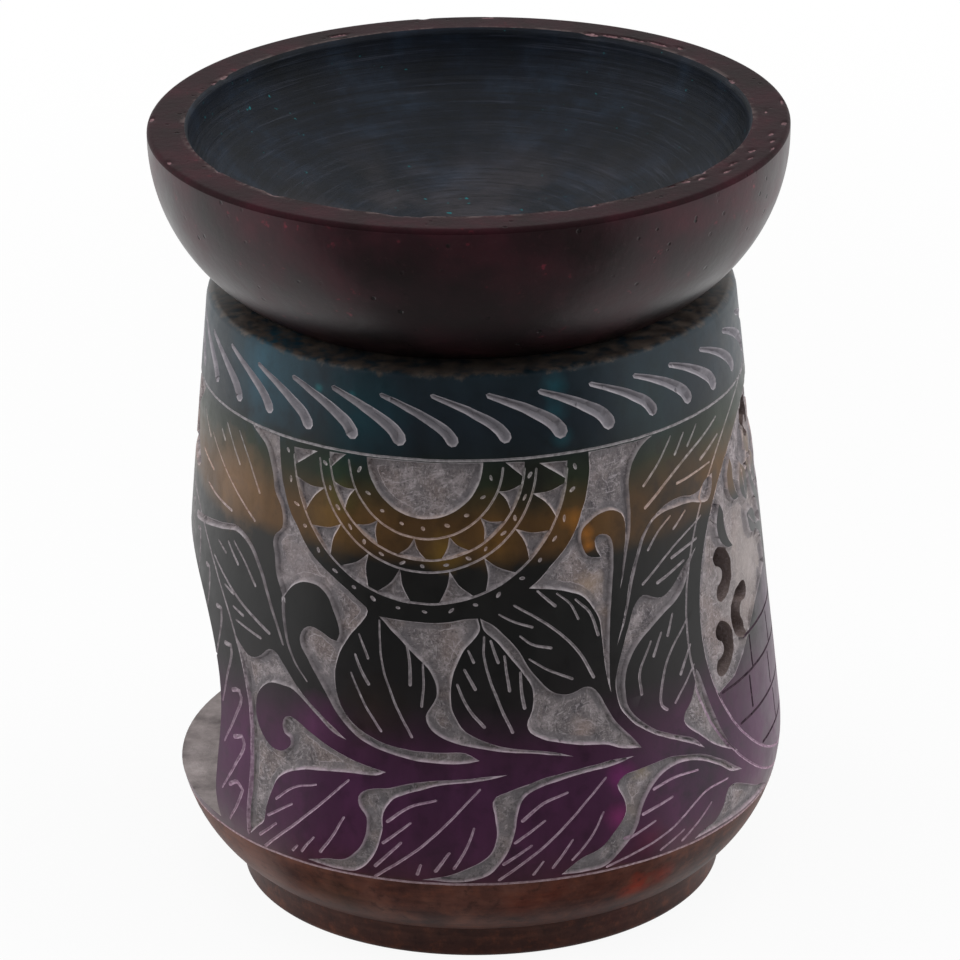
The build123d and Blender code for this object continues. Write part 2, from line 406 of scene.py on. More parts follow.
# Leaf veins and outlines: each leaf's cuts, the thin end first
veins = [
    [(-62.5, 66.5), (-56.5, 62.4)], [(-57.3, 66.5), (-53.4, 63.7), (-49.2, 60)],
    [(-64.9, 65.2), (-63.1, 64.2)], [(-69.6, 63.7), (-60, 59.8), (-50.4, 56.2)],
    [(-70.4, 57), (-64.5, 56.3), (-58.7, 55.9)], [(-76.5, 65.5), (-71, 63)], [(-75, 60.5), (-68, 59.3)],
    [(-63.3, 51), (-60.1, 50.1)], [(-59.3, 51.7), (-55.3, 49.6)], [(-57.1, 52.2), (-53, 50.4), (-49.2, 48)],
    [(-64.9, 48.7), (-55, 45.4), (-44.6, 42.7)], [(-59.7, 46), (-56.3, 45.5)],
    [(-56.1, 43.9), (-52.6, 43.4)], [(-54.9, 42.4), (-47, 41.6)],
    [(-23.5, 45.6), (-21.5, 42.7)], [(-24.2, 43), (-22.9, 41), (-21.3, 39.4)],
    [(-25, 40.5), (-22.2, 36.9), (-18.7, 33.6)],
    [(-19.3, 47.7), (-18.7, 42.5), (-16.1, 37.5), (-12.7, 33.2)],
    [(-13.7, 44.9), (-13.1, 42.4), (-13.1, 39.9)], [(-10.6, 42.7), (-10.4, 40), (-10.8, 37.2)],
    [(-1.8, 44.5), (-0.8, 43)], [(-2.6, 42.1), (-0.6, 39.6)], [(-4, 40.2), (-2, 37.2), (1, 34.7)],
    [(1.3, 46.2), (1.2, 43.7), (3.7, 38), (6.3, 33.9)], [(2.5, 45.7), (3.9, 42.9)],
    [(5.1, 43.7), (5.9, 39.2)], [(8.1, 41.5), (8.2, 39.2), (8.7, 36.9)],
    [(11.9, 51.6), (15.4, 49.5)], [(15.8, 51), (18.4, 49.5), (20, 47.4)],
    [(19.6, 49.9), (22.4, 48), (24, 44.9)],
    [(7.3, 50), (12.1, 48), (16.8, 45.5), (20, 43), (22.6, 39.7)], [(4.3, 49), (6.9, 48), (10.7, 47.1)],
    [(8.3, 46.1), (10.5, 44.9), (14.2, 44.2)], [(9.9, 43.1), (12.9, 41.7), (18.2, 39.9)],
    [(44.6, 67.2), (40.2, 64.2), (36.4, 62.2)], [(48.5, 66.9), (45.4, 64.7)], [(52.9, 67.2), (49.5, 65.1)],
    [(60.6, 66.6), (46.7, 63.2), (36.4, 59.4)], [(60.6, 64.4), (53.3, 62.6)], [(56.5, 61.6), (45.4, 61)],
    [(42.8, 57.3), (39.4, 56), (36.4, 54)], [(47.1, 57.2), (43.4, 55.5)],
    [(51.9, 55.6), (43.6, 53.5), (34.6, 49.9)], [(49.9, 53.1), (42.4, 52)], [(45.6, 51), (38.2, 49.5)],
    [(35.6, 42.4), (32.5, 38.7), (32.7, 36)], [(38.2, 43.1), (36, 40.4)], [(41.4, 44.9), (39.8, 42.4)],
    [(45.2, 43.5), (39.6, 39.7), (37.6, 36.5), (37.2, 33.7), (38.4, 33)], [(45.6, 40.1), (42.4, 36.9)],
    [(46.2, 37.4), (40.6, 33.5)],
    [(-31.9, 25.1), (-36.8, 24), (-41, 21.7)], [(-37.2, 21.7), (-43, 19.1)], [(-41, 18.4), (-45.8, 15.7)],
    [(-25.1, 26.6), (-34.3, 20.5), (-45, 14.2)], [(-25.9, 21.7), (-28.3, 18.8), (-31.1, 16.2)],
    [(-32.3, 18.1), (-35.5, 15.5)], [(-36.3, 16.2), (-37.6, 15.2)],
    [(-8.2, 25.2), (-13, 24.2), (-17.3, 22)], [(-12.9, 22.1), (-18.1, 19.1)],
    [(-14.7, 19.4), (-19.9, 15.7)],
    [(0, 26.7), (-10.2, 19.5), (-20.1, 14.1)], [(-1.2, 21.7), (-2.8, 18.8), (-5, 16.2)],
    [(-5.8, 18.4), (-8.4, 15.7)], [(-11.2, 16.5), (-11.9, 15.1)],
    [(16.4, 25.4), (11.6, 24.4), (7.7, 22.4)], [(11.9, 22.2), (6.3, 19.6)], [(9.3, 19.1), (4.1, 16.7)],
    [(24, 26.5), (13.7, 20), (3.3, 14.4)], [(23.2, 22.1), (20.4, 19), (17, 16.4)],
    [(17, 19.2), (13.3, 15.6)],
    [(11.5, 16.7), (9.7, 14.9)],
    [(45, 23.7), (38.8, 24), (34, 23.4)], [(38.2, 21.6), (31.3, 20.6)], [(34, 19.2), (27.7, 17.7)],
    [(53.3, 20.6), (46.7, 20.5), (36.8, 17), (24.1, 14.4)], [(41, 16.5), (35.8, 14.7)],
    [(48.1, 18.6), (44.8, 16.8), (41, 14.9)],
]

# Broad cuts with their widths: the line between the two upper left leaves, and the left side of
# the hooked tendril
broad_cuts = [
    ([(-77, 51.2), (-72, 51.8), (-62, 53.2), (-56, 54), (-52, 53.2), (-48, 50.5), (-44.6, 46.5),
      (-40.8, 41.9)], 1.1),
    ([(-41.2, 47.8), (-40.9, 45.5), (-39.6, 42.3), (-37.5, 40), (-34.7, 38.1)], 0.6),
]

# The line that runs round the doorway, and the commas between it and the edge
door_line = [
    (-49.3, 15), (-48.9, 17), (-48, 22), (-48.1, 27), (-49.3, 32.5), (-51.7, 36.7), (-55, 40.5),
    (-58.5, 43.5), (-61.7, 45.7), (-65.7, 48.2), (-70, 50.5), (-76, 52.8), (-84, 54.2), (-100, 54.2),
]
door_commas = [
    [(-54, 20.8), (-51.7, 21.6), (-50, 20.9), (-51.6, 18.6), (-54.9, 15.7)],
    [(-53.3, 27.3), (-51.1, 27.8), (-50.3, 27), (-52.4, 24), (-56.5, 19.7)],
    [(-54.7, 33.2), (-52.6, 33.5), (-51.9, 32.8), (-53.4, 30), (-56.5, 26)],
    [(-58.2, 38.6), (-56.2, 38.7), (-55.8, 37.8), (-56.7, 35), (-57.9, 31)],
    [(-62.4, 42.6), (-60.6, 42.6), (-60.2, 41.5), (-60.6, 39), (-61.5, 36.2)],
    [(-68.6, 46.6), (-67, 46.6), (-66.6, 45.4), (-66.4, 43.4), (-66.8, 41.6)],
    [(-75.4, 49.8), (-73.9, 50), (-73.4, 48.8), (-73, 46.6), (-73.2, 44.8)],
    [(-83, 51.9), (-81.4, 52.2), (-80.9, 51), (-80.3, 48.8), (-80.4, 47)],
    [(-90.4, 52.6), (-88.8, 52.9), (-88.2, 51.8), (-87.6, 49.6), (-87.7, 48.4)],
]

# The half mandala: rings by radius, and the bearings of its cut gaps from straight down
mandala_angle = -10.3
mandala_level = high_border
mandala_scale = 0.611
mandala_disc = 7.4
mandala_lines = (9.9, 12.6, 14.1, 18.1)
mandala_dots = ((8.6, 19.0), (13.35, 11.5), (19.1, 9.4))
mandala_gaps = (
    (9.9, 12.6, 8.6, (-88, -63, -36, -7, 18, 44, 67, 88)),
    (14.1, 18.1, 7.0, (-87, -68.6, -49, -29.5, -12, 12.5, 31, 52, 71.6, 87)),
)

# The row of teardrops on the top band
teardrop_count = 33
teardrop_first = -4.0
teardrop_run = (-15.0, -11.0, -6.0, -1.2, 0.0)
teardrop_rise = (5.2, 4.3, 2.9, 1.0, 0.0)
teardrop_level = 71.0
teardrop_width = 1.85

# The medallion, as (millimetres from its middle, millimetres up)
medallion_angle = 88.0
medallion_scale = 0.635
medallion_outer = 27.3
mound_line = [(-22.2, -10), (-18.6, -9.1), (-16.1, -7.3), (-13.6, -5), (-10.2, -2.3), (-6, -0.6), (0, 0)]
mound_courses = (-5.2, -10.2, -15.7, -20.6)
block_length = 7.4
medallion_leaves = [
    ((-10.4, 13.6), 105, 5.6), ((-8.2, 7.6), 142, 5.4), ((-4.4, 13.4), 112, 5.0), ((-7.2, 18.0), 118, 4.6),
]
medallion_stems = [
    [(-1.9, -0.6), (-1.2, 4), (-2.6, 8), (-6, 11.4), (-8, 15.6)],
    [(-1.6, 2), (-3.4, 4.6), (-6.2, 6)],
]
medallion_crescents = [
    [(-18.6, 13.6), (-19.6, 11.4), (-19.2, 9.2), (-17.6, 7.6), (-16, 7.2), (-17.2, 8.8),
     (-17.8, 10.6), (-17.8, 12.4)],
    [(-14.6, 18.2), (-15.8, 16.2), (-15.6, 14), (-14.2, 12.6), (-12.8, 12.4), (-13.8, 14),
     (-14.2, 15.6), (-14.1, 17)],
]


def on_plan(angle, z, side):
    """Flat place of a photo angle and a height; the far side mirrors the near one."""
    turn = angle + photo_turn
    if side < 0:
        turn = 180 - turn
    return Vector((turn * plan_scale, z))


def along_plan(points, side):
    return [on_plan(angle, z, side) for angle, z in points]


def mandala_place(radius, bearing, side):
    across = radius * math.sin(math.radians(bearing)) / mandala_scale
    z = mandala_level - radius * math.cos(math.radians(bearing))
    return on_plan(mandala_angle + across, min(z, mandala_level - 0.25), side)


def carve_mandala(plan, side):
    bearings = [-90 + i * 6 for i in range(31)]
    plan.island([mandala_place(mandala_disc, a, side) for a in bearings])
    for inner, outer, half, middles in mandala_gaps:
        for middle in middles:
            if abs(middle) > 80:
                lean = math.copysign(half, middle)
                shape = [(inner + 0.3, 0), (outer, -lean), (outer, 0)]
            else:
                waist = (inner + outer) / 2
                shape = [(inner + 0.05, 0), (waist, -half * 0.36), (outer, -half),
                         (outer, 0), (outer, half), (waist, half * 0.36)]
            plan.island([mandala_place(r, middle + turn, side) for r, turn in shape])
    for radius in mandala_lines:
        plan.stroke([mandala_place(radius, a, side) for a in bearings[1:-1]], ring_line_width, 0.9)
    for radius, spacing in mandala_dots:
        count = int(170 / spacing)
        for i in range(count + 1):
            bearing = (i - count / 2) * spacing + draw.uniform(-1, 1)
            place = mandala_place(radius, bearing, side)
            width = draw.uniform(0.36, 0.5)
            length = draw.uniform(0.6, 1.0)
            plan.dot(place, width, length, bearing + draw.uniform(-50, 50))


def medallion_place(across, up):
    return on_plan(medallion_angle + across / medallion_scale, medallion_height + up, 1)


def medallion_circle(radius, first, last, count):
    turns = [math.radians(first + (last - first) * i / count) for i in range(count + 1)]
    return [medallion_place(radius * math.cos(a), radius * math.sin(a)) for a in turns]


def leaf_outline(place, lean, length, mirror):
    """A pointed oval leaf about a place on the medallion, and its middle line."""
    turn = math.radians(lean)
    along = Vector((math.cos(turn), math.sin(turn))) * length / 2
    side = Vector((-along.y, along.x)) * 0.52
    middle = Vector(place)
    corners = [middle - along, middle - along * 0.45 + side * 0.85, middle + along * 0.2 + side,
               middle + along, middle + along * 0.2 - side, middle - along * 0.45 - side * 0.85]
    rib = [middle - along * 0.75, middle, middle + along * 0.7]
    return ([medallion_place(mirror * p.x, p.y) for p in corners],
            [medallion_place(mirror * p.x, p.y) for p in rib])


def carve_medallion(plan):
    """A bare disc in a painted ring: a tree with leaves on a mound of laid blocks."""
    plan.island(medallion_circle(medallion_radius, 0, 360, 60)[:-1])
    half = [Vector(p) for p in mound_line]
    across = [medallion_place(p.x, p.y) for p in half]
    across += [medallion_place(-p.x, p.y) for p in reversed(half[:-1])]
    start = math.degrees(math.atan2(half[0].y, -half[0].x))
    across += medallion_circle(medallion_radius, start, -180 - start, 40)[1:-1]
    plan.area(PAINT, [hand_cut(p) for p in across])
    for row, level in enumerate(mound_courses):
        reach = math.sqrt(medallion_radius**2 - level**2) - 0.8
        top = [p for p in half if p.y <= level]
        if level > half[0].y:
            reach = min(reach, -top[-1].x - 0.6)
        joint = [medallion_place(x, y) for x, y in ((-reach, level), (0, level + 0.3), (reach, level))]
        plan.stroke(joint, joint_width, 0.9, JOINT)
        count = int(2 * reach / block_length)
        for i in range(count):
            x = (i - count / 2 + (0.5 if row % 2 else 0.15)) * block_length
            if x * x + (level - 5.0) ** 2 < (medallion_radius - 1) ** 2:
                joint = [medallion_place(x, level - 0.5), medallion_place(x + 0.2, level - 4.6)]
                plan.stroke(joint, joint_width, 0.9, JOINT)
    for mirror in (1, -1):
        for stem in medallion_stems:
            line = smooth_line(stem, False, 0.8)
            left = []
            right = []
            for i, p in enumerate(line):
                t = i / (len(line) - 1)
                step = line[min(i + 1, len(line) - 1)] - line[max(i - 1, 0)]
                side_step = Vector((-step.y, step.x)).normalized() * (1.3 - 0.95 * t)
                left.append(p + side_step)
                right.append(p - side_step)
            outline = [medallion_place(mirror * p.x, p.y) for p in left + right[::-1]]
            plan.area(PAINT, outline)
        for crescent in medallion_crescents:
            plan.island([medallion_place(mirror * x, y) for x, y in crescent], PAINT)
        for place, lean, length in medallion_leaves:
            outline, rib = leaf_outline(place, lean, length, mirror)
            plan.island(outline, PAINT)
            plan.stroke(rib, rib_width)
    for radius in (medallion_radius, medallion_outer):
        for half_turn in (0, 180):
            plan.stroke(medallion_circle(radius, half_turn, half_turn + 180, 40), rib_width, 1.0)


def carve_side(plan, side):
    for island in bare_islands:
        plan.island(along_plan(island, side))
    plan.island(along_plan(over_door_leaf, side), PAINT)
    carve_mandala(plan, side)
    for vein in veins:
        plan.stroke(along_plan(vein, side), draw.uniform(0.32, 0.46), 0.7)
    for cut, width in broad_cuts:
        plan.stroke(along_plan(cut[::-1], side), width, 0.3, GROUND)
    plan.stroke(along_plan(door_line, side), border_width, 1.0)
    for comma in door_commas:
        plan.stroke(along_plan(comma[::-1], side), comma_width, 0.45)


def carve_bands(plan):
    """What goes all round: the two scratched lines and the row of teardrops."""
    for level in (low_border, high_border):
        line = [Vector(((seam_angle - 2 + i * 4) * plan_scale, level)) for i in range(92)]
        plan.stroke(line, border_width, 1.0, step=1.2)
    pitch = 360 / teardrop_count
    rolls = []
    for _ in range(teardrop_count):
        rolls.append((draw.uniform(-0.6, 0.6), draw.uniform(-0.3, 0.3), draw.uniform(0.85, 1.1)))
    for i in range(teardrop_count * 2):
        shift, lift, share = rolls[i % teardrop_count]
        end = teardrop_first + photo_turn + (i - teardrop_count) * pitch + shift
        if not seam_angle - 3 < end < seam_angle + 378:
            continue
        line = [Vector(((end + run) * plan_scale, teardrop_level + lift + rise))
                for run, rise in zip(teardrop_run, teardrop_rise)]
        plan.stroke(line, teardrop_width * share, 0.36, GROUND)


# The carved sheet

def plan_frame(plan):
    """The plan's outer edge, with points that match across the seam and on the turned rings."""
    left = seam_angle * plan_scale
    right = (seam_angle + 360) * plan_scale
    low = [Vector((left + (right - left) * i / ring_count, plan_low)) for i in range(ring_count)]
    high = [Vector((right - (right - left) * i / ring_count, plan_high)) for i in range(ring_count)]
    rise = [plan_low + (plan_high - plan_low) * i / seam_rows for i in range(seam_rows)]
    fall = [plan_high - (plan_high - plan_low) * i / seam_rows for i in range(seam_rows)]
    up = [Vector((right, z)) for z in rise]
    down = [Vector((left, z)) for z in fall]
    plan.area(PAINT, low + up + high + down)
    plan.edge_points.clear()


def loose_grid(plan):
    """Evenly spread points, so that the sheet follows the round body."""
    columns = int(360 * plan_scale / sheet_pitch)
    rows = int((plan_high - plan_low) / sheet_pitch)
    for i in range(1, columns):
        for j in range(1, rows):
            x = seam_angle * plan_scale + 360 * plan_scale * (i + 0.5 * (j % 2)) / columns
            plan.points.append(Vector((x, plan_low + (plan_high - plan_low) * j / rows)))


def tree_of(points):
    tree = kdtree.KDTree(len(points))
    for i, p in enumerate(points):
        tree.insert((p.x, p.y, 0), i)
    tree.balance()
    return tree


def covered(spots, corners):
    """Which of the spots lie in a closed outline that may cross itself."""
    ends = np.roll(corners, -1, axis=0)
    x = spots[:, :1]
    y = spots[:, 1:]
    run = ends - corners
    over = run[:, 0] * (y - corners[:, 1]) - (x - corners[:, 0]) * run[:, 1]
    rising = (corners[:, 1] <= y) & (ends[:, 1] > y) & (over < 0)
    falling = (corners[:, 1] > y) & (ends[:, 1] <= y) & (over > 0)
    return rising.sum(1) != falling.sum(1)


def sort_faces(plan, places, faces):
    """The triangles inside the frame, each with its kind and whether it lies on bare stone."""
    corners = np.array([p[:] for p in places])
    middles = corners[np.array(faces)].mean(1)
    edge = np.array([p[:] for p in plan.points])
    rim = edge[plan.areas[0]]
    keep = np.flatnonzero(((middles > rim.min(0)) & (middles < rim.max(0))).all(1))
    middles = middles[keep]
    kinds = np.full(len(keep), PAINT)
    grounds = np.zeros(len(keep), bool)
    for kind, area in zip(plan.kinds[1:], plan.areas[1:]):
        outline = edge[area]
        near = np.flatnonzero(((middles > outline.min(0)) & (middles < outline.max(0))).all(1))
        hit = near[covered(middles[near], outline)]
        kinds[hit] = kind
        if kind != CUT:
            grounds[hit] = kind == GROUND
    return [faces[i] for i in keep], kinds.tolist(), grounds.tolist()


def carved_sheet():
    """Points, triangles, kinds and wear of the carved side of the body."""
    plan = Plan()
    plan_frame(plan)
    for side in (1, -1):
        carve_side(plan, side)
    carve_medallion(plan)
    carve_bands(plan)
    loose_grid(plan)
    places, _, faces, *_ = delaunay_2d_cdt(plan.points, [], plan.areas, 0, 1e-3, False)
    kept, kinds, grounds = sort_faces(plan, places, faces)
    bare = [True] * len(places)
    for face, ground in zip(kept, grounds):
        if not ground:
            for v in face:
                bare[v] = False
    edges = tree_of(plan.edge_points)
    cuts = tree_of([p for p, half in plan.grooves])
    verts = []
    wear = []
    for p, ground in zip(places, bare):
        spot = (p.x, p.y, 0)
        gap = edges.find(spot)[2]
        depth = 0.0
        if ground:
            marks = grain(p, tool_mark_scale).z * tool_mark_depth
            depth = (ground_depth + marks) * min(1.0, gap / ground_slope)
        groove = 0.0
        for _, index, away in cuts.find_range(spot, groove_reach):
            half = plan.grooves[index][1]
            groove = max(groove, (half * half - away * away) / max(half, 1e-6))
        depth = max(depth, groove * groove_slope)
        if not ground:
            depth += paint_wave_depth * grain(p, paint_wave_scale).x
        inward = min(1.0, (p.y - plan_low) / edge_fade, (plan_high - p.y) / edge_fade)
        verts.append(on_body(p.x / plan_scale, p.y, depth * max(0.0, inward)))
        wear.append(max(0.0, 1 - gap / wear_reach))
    return verts, kept, kinds, wear


# Mesh helpers

def arc(centre_r, centre_z, radius, first, last, count):
    """Points on a round stretch of a turned outline."""
    turns = [math.radians(first + (last - first) * i / count) for i in range(count + 1)]
    return [(centre_r + radius * math.cos(a), centre_z + radius * math.sin(a)) for a in turns]


def turned_mesh(outline, count, first_angle=0.0):
    """Points and faces of an outline of (radius, height) turned about Z; a radius of 0 is a pole."""
    verts = []
    rings = []
    for radius, z in outline:
        if radius == 0:
            rings.append([len(verts)] * count)
            verts.append((0.0, 0.0, z))
            continue
        rings.append(list(range(len(verts), len(verts) + count)))
        for i in range(count):
            turn = math.radians(first_angle + 360 * i / count)
            verts.append((radius * math.sin(turn), -radius * math.cos(turn), z))
    faces = []
    for low, high in zip(rings, rings[1:]):
        for i in range(count):
            j = (i + 1) % count
            face = [low[i], low[j], high[j], high[i]]
            faces.append(list(dict.fromkeys(face)))
    return verts, faces


def new_object(name, verts, faces, kinds=None):
    mesh = bpy.data.meshes.new(name)
    mesh.from_pydata([(x * MM, y * MM, z * MM) for x, y, z in verts], [], faces)
    if kinds is not None:
        mesh.polygons.foreach_set("material_index", kinds)
    thing = bpy.data.objects.new(name, mesh)
    bpy.context.scene.collection.objects.link(thing)
    return thing


def weld(thing, reach=0.0004):
    work = bmesh.new()
    work.from_mesh(thing.data)
    bmesh.ops.remove_doubles(work, verts=work.verts, dist=reach * MM)
    bmesh.ops.recalc_face_normals(work, faces=work.faces)
    work.to_mesh(thing.data)
    work.free()


def cut_away(thing, cutter):
    """Takes the cutter's space out of the thing and removes the cutter."""
    weld(cutter)
    step = thing.modifiers.new("cut", "BOOLEAN")
    step.operation = "DIFFERENCE"
    step.solver = "MANIFOLD"
    step.object = cutter
    view = bpy.context.evaluated_depsgraph_get()
    mesh = bpy.data.meshes.new_from_object(thing.evaluated_get(view))
    thing.modifiers.clear()
    thing.data = mesh
    bpy.data.objects.remove(cutter)


def smooth_shade(thing, sharp_angle):
    thing.data.polygons.foreach_set("use_smooth", [True] * len(thing.data.polygons))
    thing.data.set_sharp_from_angle(angle=math.radians(sharp_angle))


def part_kinds(thing):
    """Sharp edges where two kinds of surface meet, so that a groove doesn't shade the paint."""
    work = bmesh.new()
    work.from_mesh(thing.data)
    for edge in work.edges:
        if len({face.material_index for face in edge.link_faces}) > 1:
            edge.smooth = False
    work.to_mesh(thing.data)
    work.free()


def lay_out(thing):
    """Texture map in four cells: the outside in three upright strips, every other face in the last."""
    mesh = thing.data
    mesh.uv_layers.new(name="OFBake")
    inner = [face.material_index == BORED or abs(face.normal.z) > 0.9 for face in mesh.polygons]
    mesh.polygons.foreach_set("select", inner)
    bpy.context.view_layer.objects.active = thing
    bpy.context.tool_settings.mesh_select_mode = (False, False, True)
    bpy.ops.object.mode_set(mode="EDIT")
    bpy.ops.uv.smart_project(angle_limit=1.15, island_margin=0.006, scale_to_bounds=True)
    bpy.ops.object.mode_set(mode="OBJECT")
    places = mesh.uv_layers["OFBake"].data
    for face, hidden in zip(mesh.polygons, inner):
        strip = int((math.degrees(math.atan2(face.center.y, face.center.x)) + 180) // 120) % 3
        cell = Vector((0.5, 0.5)) if hidden else Vector((strip % 2, strip // 2)) / 2
        for corner in face.loop_indices:
            place = places[corner].uv
            if not hidden:
                x, y, z = mesh.vertices[mesh.loops[corner].vertex_index].co / MM
                turn = (math.degrees(math.atan2(y, x)) + 180 - strip * 120 - 60 + 180) % 360 - 180
                place = Vector((0.5 + turn / strip_turn, 0.01 + 0.98 * z / body_height))
            places[corner].uv = cell + place / 2


# Cutters for the body

def chamber_cutter():
    floor_edge = chamber_radius - chamber_floor_round
    corner = arc(floor_edge, sill_height + chamber_floor_round, chamber_floor_round, -90, 0, 8)
    outline = [(0, sill_height), *corner]
    outline += [(chamber_radius, body_height - shoulder_drop), (neck_radius, body_height - neck_length),
                (neck_radius, body_height + overrun), (0, body_height + overrun)]
    return new_object("chamber", *turned_mesh(outline, 144))


def doorway_cutter():
    half = doorway_width / 2
    spring = sill_height + doorway_height - half
    turns = [math.radians(180 * i / 48) for i in range(49)]
    head = [(half * math.cos(a), spring + half * math.sin(a)) for a in turns]
    arch = [(half, sill_height), *head, (-half, sill_height)]
    count = len(arch)
    verts = [(0.0, y, z) for y, z in arch] + [(-belly_radius - overrun, y, z) for y, z in arch]
    faces = [list(range(count)), list(range(2 * count - 1, count - 1, -1))]
    faces += [[i, (i + 1) % count, count + (i + 1) % count, count + i] for i in range(count)]
    return new_object("doorway", verts, faces)


def vent_outline(back):
    """A bent slot with round ends."""
    half = vent_width / 2
    first = back - vent_sweep / 2
    last = back + vent_sweep / 2
    points = arc(0, 0, vent_bend_radius + half, first, last, 16)
    for end, start_turn in ((last, last), (first, first + 180)):
        cx = vent_bend_radius * math.cos(math.radians(end))
        cy = vent_bend_radius * math.sin(math.radians(end))
        points += arc(cx, cy, half, start_turn, start_turn + 180, 8)[1:-1]
        if end == last:
            points += arc(0, 0, vent_bend_radius - half, last, first, 10)
    return points


def vent_cutters():
    verts = []
    faces = []
    for (across_share, up_share), back in zip(vent_place_shares, vent_backs):
        for side in (1, -1):
            across = side * across_share * medallion_radius
            outline = vent_outline(back if side > 0 else 180 - back)
            middle = medallion_height + up_share * medallion_radius
            turn = Matrix.Rotation(across / belly_radius, 3, "Z")
            first = len(verts)
            count = len(outline)
            for depth in (chamber_radius - overrun, belly_radius + overrun):
                for x, y in outline:
                    verts.append(tuple(turn @ Vector((depth, x, middle + y))))
            faces.append(list(range(first, first + count)))
            faces.append(list(range(first + 2 * count - 1, first + count - 1, -1)))
            for i in range(count):
                j = (i + 1) % count
                faces.append([first + i, first + j, first + count + j, first + count + i])
    return new_object("vents", verts, faces)


underside_rings = (0, 8, 16, 24)
top_rings = (28, 14, 0)


def make_body():
    """The carved body: the sheet and the turned stretches above and below it."""
    verts, faces, kinds, wear = carved_sheet()
    belly = [(body_radius(z), z) for z in np.linspace(foot_height, plan_low, 9)]
    foot = [*[(radius, 0) for radius in underside_rings],
            *arc(foot_bottom_radius - foot_edge_round, foot_edge_round, foot_edge_round, -90, 0, 5),
            (foot_top_radius - 0.3, foot_height - 0.5), (foot_top_radius, foot_height), *belly]
    lip = top_edge_round
    top = [(body_radius(plan_high), plan_high),
           *arc(body_top_radius - lip, body_height - lip, lip, 0, 90, 6),
           *[(radius, body_height) for radius in top_rings]]
    for outline in (foot, top):
        more, quads = turned_mesh(outline, ring_count, seam_angle)
        shift = len(verts)
        verts = verts + more
        faces = faces + [[v + shift for v in quad] for quad in quads]
        kinds = kinds + [PAINT] * len(quads)
        wear = wear + [0.0] * len(more)
    body = new_object("carved_body", verts, faces, kinds)
    body.data.attributes.new("wear", "FLOAT", "POINT").data.foreach_set("value", wear)
    return body


# Materials

def tone(red, green, blue):
    """Linear colour from the usual 0 to 255 values."""
    linear = []
    for share in (red / 255, green / 255, blue / 255):
        linear.append(share / 12.92 if share < 0.0404 else ((share + 0.055) / 1.055) ** 2.4)
    return (*linear, 1.0)


